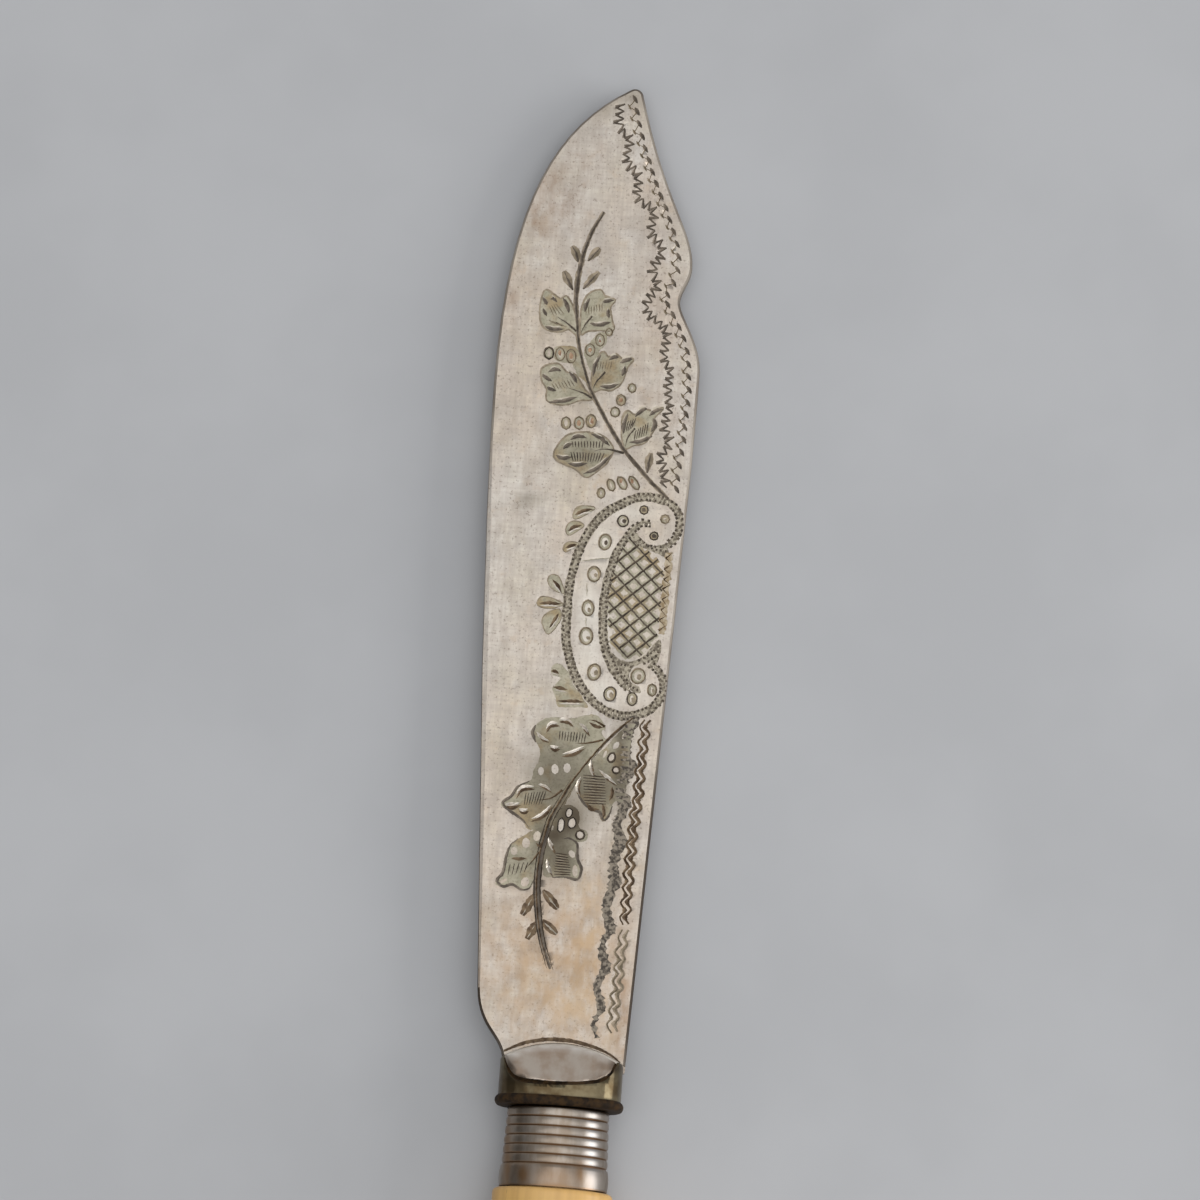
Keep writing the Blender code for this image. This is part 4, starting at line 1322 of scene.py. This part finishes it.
jaw_edges = [edge for edge in bolster_bm.edges if is_jaw_edge(edge)]
bmesh.ops.bevel(bolster_bm, geom=jaw_edges, affect="EDGES", offset=jaw_round, segments=3, profile=0.5,
                material=rim_slot, clamp_overlap=True)
sharp_edges = [edge for edge in bolster_bm.edges if edge.calc_face_angle(0) > sharp_angle]
bmesh.ops.bevel(bolster_bm, geom=sharp_edges, affect="EDGES", offset=edge_round, segments=2, profile=0.5,
                material=-1, clamp_overlap=True)
bmesh.ops.remove_doubles(bolster_bm, verts=bolster_bm.verts, dist=merge_distance)
for way in (across_way, along_way, up_way):
    slice_bm(bolster_bm, way, bolster_square)


def drum_reach(co):
    """The half width of the squarish oval that goes through a point."""
    powers = abs(co.x) ** drum_squareness + abs(co.z / drum_flatness) ** drum_squareness
    return powers ** (1 / drum_squareness)


for vert in bolster_bm.verts:
    reach = drum_reach(vert.co)
    if vert.co.y > flange_front and drum_half * facet_dip < reach < drum_half:
        vert.co.x *= drum_half / reach
        vert.co.z *= drum_half / reach
surface = BVHTree.FromBMesh(bolster_bm)
bolster = put("rounded_bolster", bolster_bm, bolster_finishes)
print("rounded", len(jaw_edges), "jaw edges and", len(sharp_edges), "others")

# %% Cut the groove under the pad
pad_line = smoothed([(504, 1055), (506, 1063), (510, 1072), (517, 1078), (530, 1081), (560, 1083),
                     (592, 1082), (604, 1079), (611, 1073), (616, 1064)])
groove_width = 0.00042
groove_taper = (0.5, 1.1, 1.1, 1, 0.9, 0.8, 0.8, 0.9, 1, 0.6)
line_half = 1.5
groove = graver_curve("pad_groove", groove_width)
casts = [surface.ray_cast(eye, sight(point))[0] for point in pad_line]
hits = [hit for hit in casts if hit]
spline = groove.splines.new("POLY")
spline.points.add(len(hits) - 1)
for index, hit in enumerate(hits):
    spline.points[index].co = (*hit, 1)
    spline.points[index].radius = width_share(groove_taper, index / (len(hits) - 1))
engrave(bolster, cutter_from(groove, old_polish, 1, 0))


def under_line(point):
    """How far a picture point lies below the line under the pad, in pixels."""
    for first, last in zip(pad_line, pad_line[1:]):
        if first.x <= point.x < last.x:
            return point.y - first.y - (last.y - first.y) * (point.x - first.x) / (last.x - first.x)
    return 0


for polygon in bolster.data.polygons:
    below = under_line(in_picture(polygon.center))
    if polygon.material_index < 2 and polygon.normal.z > 0.3 and abs(below) > line_half:
        polygon.material_index = 1 if below < 0 else 0
# Painted shade at the pad's two ends and its lower corners, by the groove.
pad_shade_spots = [
    (509, 1068, 7, 12, 0.9), (520, 1079, 12, 6, 0.8), (615, 1068, 7, 10, 0.9), (604, 1079, 12, 5, 0.6),
    (601, 1066, 5, 4, 0.3)
]
# Painted highlight: a light band along the pad's front edge, behind the jaw.
pad_highlight_spots = [
    (514, 1054, 8, 4, 0.7), (528, 1049, 9, 4, 0.7), (544, 1046, 10, 4, 0.7), (560, 1046, 10, 4, 0.7),
    (576, 1048, 10, 4, 0.7), (592, 1052, 10, 4, 0.7), (605, 1058, 8, 4, 0.5)
]
paint(bolster, "grime_and_shade", pad_shade_spots)
paint(bolster, "painted_highlight", pad_highlight_spots)
finish_piece(bolster, "bolster", 35)

# %% [markdown]
# ## The ferrule
# The ferrule is a thin oval collar with six reeds and a plain band. It could be cut from a tube,
# but a lathe is closer to how it was rolled: one profile is spun about the axis and pressed to an oval.

# %% Spin the ferrule
# The ferrule's stains are a painted highlight down its right side, and a brown that is tarnish in the
# grooves and painted shade and painted dark reflections elsewhere.
ferrule_silver = make_finish("ferrule_silver", 0.95, 0.33, (0.345, 0.30, 0.255),
                             [("clouds", (1, 0.3, 1), 800, 0.35, 0.65, 1, (0.25, 0.20, 0.155))],
                             [("painted_highlight", 1, (0.36, 0.345, 0.335)), ("grime_and_shade", 1, (0.25, 0.148, 0.075))])

turn_steps = 96
seat_gap = 0.00015
ferrule_front_half = 0.0050
ferrule_back_half = 0.0053
ferrule_flatness = 0.76
ferrule_wall = 0.00055
reed_count = 6
reed_pitch = 0.00092
reed_fullness = 0.40
reed_depth = 0.00018
band_length = 0.00224
band_swell = 0.00012
ferrule_length = reed_count * reed_pitch + band_length
ferrule_back = -seat_gap - ferrule_length


def spun(profile, steps, closed=False):
    """Spin a line of (radius, station) points about the knife's axis."""
    bm = bmesh.new()
    verts = [bm.verts.new((radius, station, 0)) for radius, station in profile]
    pairs = list(zip(verts, verts[1:])) + ([(verts[-1], verts[0])] if closed else [])
    edges = [bm.edges.new(pair) for pair in pairs]
    bmesh.ops.spin(bm, geom=verts + edges, cent=(0, 0, 0), axis=along_way, angle=2 * math.pi, steps=steps,
                   use_merge=True)
    bmesh.ops.remove_doubles(bm, verts=bm.verts, dist=merge_distance)
    bmesh.ops.recalc_face_normals(bm, faces=bm.faces)
    return bm


def collar_half(station):
    """The ferrule's half width at a station, without its reeds and its swell."""
    share = (-seat_gap - station) / ferrule_length
    return ferrule_front_half + (ferrule_back_half - ferrule_front_half) * share


reed_samples = 14
collar = []
for step in range(reed_count * reed_samples + 1):
    station = -seat_gap - reed_pitch * step / reed_samples
    crest = abs(math.sin(math.pi * step / reed_samples)) ** reed_fullness
    collar.append((collar_half(station) - reed_depth * (1 - crest), station))
band_samples = 10
band_front = collar[-1][1]
for step in range(1, band_samples + 1):
    share = step / band_samples
    station = band_front + (ferrule_back - band_front) * share
    collar.append((collar_half(station) + band_swell * math.sin(math.pi * share), station))
bore = ferrule_front_half - ferrule_wall
collar += [(bore, ferrule_back), (bore, -seat_gap)]
ferrule_bm = spun(collar, turn_steps, closed=True)
bmesh.ops.scale(ferrule_bm, vec=(1, 1, ferrule_flatness), verts=ferrule_bm.verts)
print("the ferrule's profile has", len(collar), "points")

# %% Tarnish the ferrule, and paint its shade and its highlight
groove_share = 0.11
groove_grime = 0.85
edge_line = 0.0001
# Painted dark reflections down the left side and on the band, and painted shade along the back edge by the
# handle.
ferrule_shade_spots = [
    (522, 1174, 7, 14, 1.0), (548, 1187, 26, 4, 0.9), (507, 1150, 5, 60, 0.9), (580, 1172, 4, 14, 0.8),
    (552, 1176, 34, 14, 0.5)
]
# Painted highlight: a lighter, neutral column down the ferrule's right side.
highlight_column = [(593, 1145, 9, 60, 0.9)]
grime_and_shade_layer = ferrule_bm.verts.layers.float.new("grime_and_shade")
highlight_layer = ferrule_bm.verts.layers.float.new("painted_highlight")
# Grooves get brown tarnish; the thin line at the back edge by the handle gets the same brown as painted
# shade.
for vert in ferrule_bm.verts:
    reed = (-seat_gap - vert.co.y) / reed_pitch
    in_groove = abs(reed - round(reed)) < groove_share and round(reed) <= reed_count
    in_line = in_groove or vert.co.y < ferrule_back + edge_line
    vert[grime_and_shade_layer] = max(groove_grime if in_line else 0.0, stain(ferrule_shade_spots, vert.co))
    vert[highlight_layer] = stain(highlight_column, vert.co)
ferrule = put("reeded_ferrule", ferrule_bm, [ferrule_silver])
finish_piece(ferrule, "ferrule", 50)

# %% [markdown]
# ## The handle
# The bone grip swells towards a domed butt. It is spun too, with the same sizes as its solid but more
# steps, and it keeps the bore that the tang and its resin fill. Bone shows fine grain along it
# and small dark pores.

# %% Finish the bone
pores = ("pores", (1, 0.10, 1), 3200, 0.66, 0.74)
bone_layers = [("clouds", (1, 0.25, 1), 160, 0.35, 0.65, 1, (0.62, 0.345, 0.10)),
               ("grain", (1, 0.04, 1), 1500, 0.35, 0.7, 0.35, (0.46, 0.26, 0.09)),
               (*pores, 0.7, (0.16, 0.08, 0.03))]
bone = make_finish("old_bone", 0.0, 0.38, (0.72, 0.44, 0.15), bone_layers)
tree = bone.node_tree
bump = add_node(tree, "Bump", {"Height": patch_mask(tree, *pores), "Strength": 0.25, "Distance": 0.00005},
                invert=True)
tree.links.new(bump.outputs["Normal"], tree.nodes["Principled BSDF"].inputs["Normal"])
print("finish", bone.name)

# %% Spin the handle
handle_length = 0.0910
handle_front_half = 0.0059
handle_front_round = 0.0005
butt_half = 0.0080
butt_dome = 0.0085
dome_fullness = 0.62
tang_width = 0.0024
tang_height = 0.0018
tang_length = 0.0560
socket_depth = 0.0015
resin_wall = 0.0002
resin_floor = 0.0030
bore_margin = 1.05
spigot_half = ferrule_front_half - ferrule_wall - seat_gap
spigot_front = -2 * seat_gap
handle_shoulder = ferrule_back - seat_gap
swell_front = handle_shoulder - handle_front_round
butt_station = handle_shoulder - handle_length + butt_dome
bore_half = math.hypot(tang_width, tang_height) / 2 + 2 * seat_gap + resin_wall
bore_floor = socket_depth - tang_length - resin_floor - 3 * seat_gap
grip = [(0, bore_floor), (bore_half, bore_floor), (bore_half, spigot_front), (spigot_half, spigot_front),
        (spigot_half, handle_shoulder)]
round_steps = 5
for step in range(round_steps + 1):
    angle = math.pi / 2 * (1 - step / round_steps)
    grip.append((handle_front_half - handle_front_round * (1 - math.cos(angle)),
                 swell_front + handle_front_round * math.sin(angle)))
swell_steps = 36
for step in range(1, swell_steps):
    share = step / swell_steps
    rise = (1 - math.cos(math.pi * share)) / 2
    grip.append((handle_front_half + (butt_half - handle_front_half) * rise,
                 swell_front + (butt_station - swell_front) * share))
dome_steps = 18
for step in range(dome_steps):
    angle = math.pi / 2 * step / dome_steps
    grip.append((butt_half * math.cos(angle) ** dome_fullness, butt_station - butt_dome * math.sin(angle)))
grip.append((0, butt_station - butt_dome))
handle_bm = spun(grip, turn_steps)
outside = [vert for vert in handle_bm.verts if math.hypot(vert.co.x, vert.co.z) > bore_half * bore_margin
           or vert.co.y < bore_floor - seat_gap]
bmesh.ops.scale(handle_bm, vec=(1, 1, ferrule_flatness), verts=outside)
handle = put("bone_handle", handle_bm, [bone])
finish_piece(handle, "handle", 50)

# %% [markdown]
# ## Tang and resin
# The tang and the resin around it are hidden in the handle. Their CAD solids are already right,
# so they only get a finish: blackened iron, and a brown cutler's resin.

# %% Finish the tang and the resin
iron = make_finish("blackened_iron", 0.9, 0.55, (0.10, 0.09, 0.085),
                   [("scale marks", (1, 0.4, 1), 700, 0.4, 0.6, 1, (0.22, 0.17, 0.13))])
resin = make_finish("cutlers_resin", 0.0, 0.6, (0.07, 0.035, 0.02),
                    [("swirl", even_grain, 500, 0.35, 0.65, 1, (0.14, 0.075, 0.035))])
for node, finish in (("tang", iron), ("cement", resin)):
    frame["nodes"][node].data.materials.clear()
    frame["nodes"][node].data.materials.append(finish)
print("tang and resin finished")
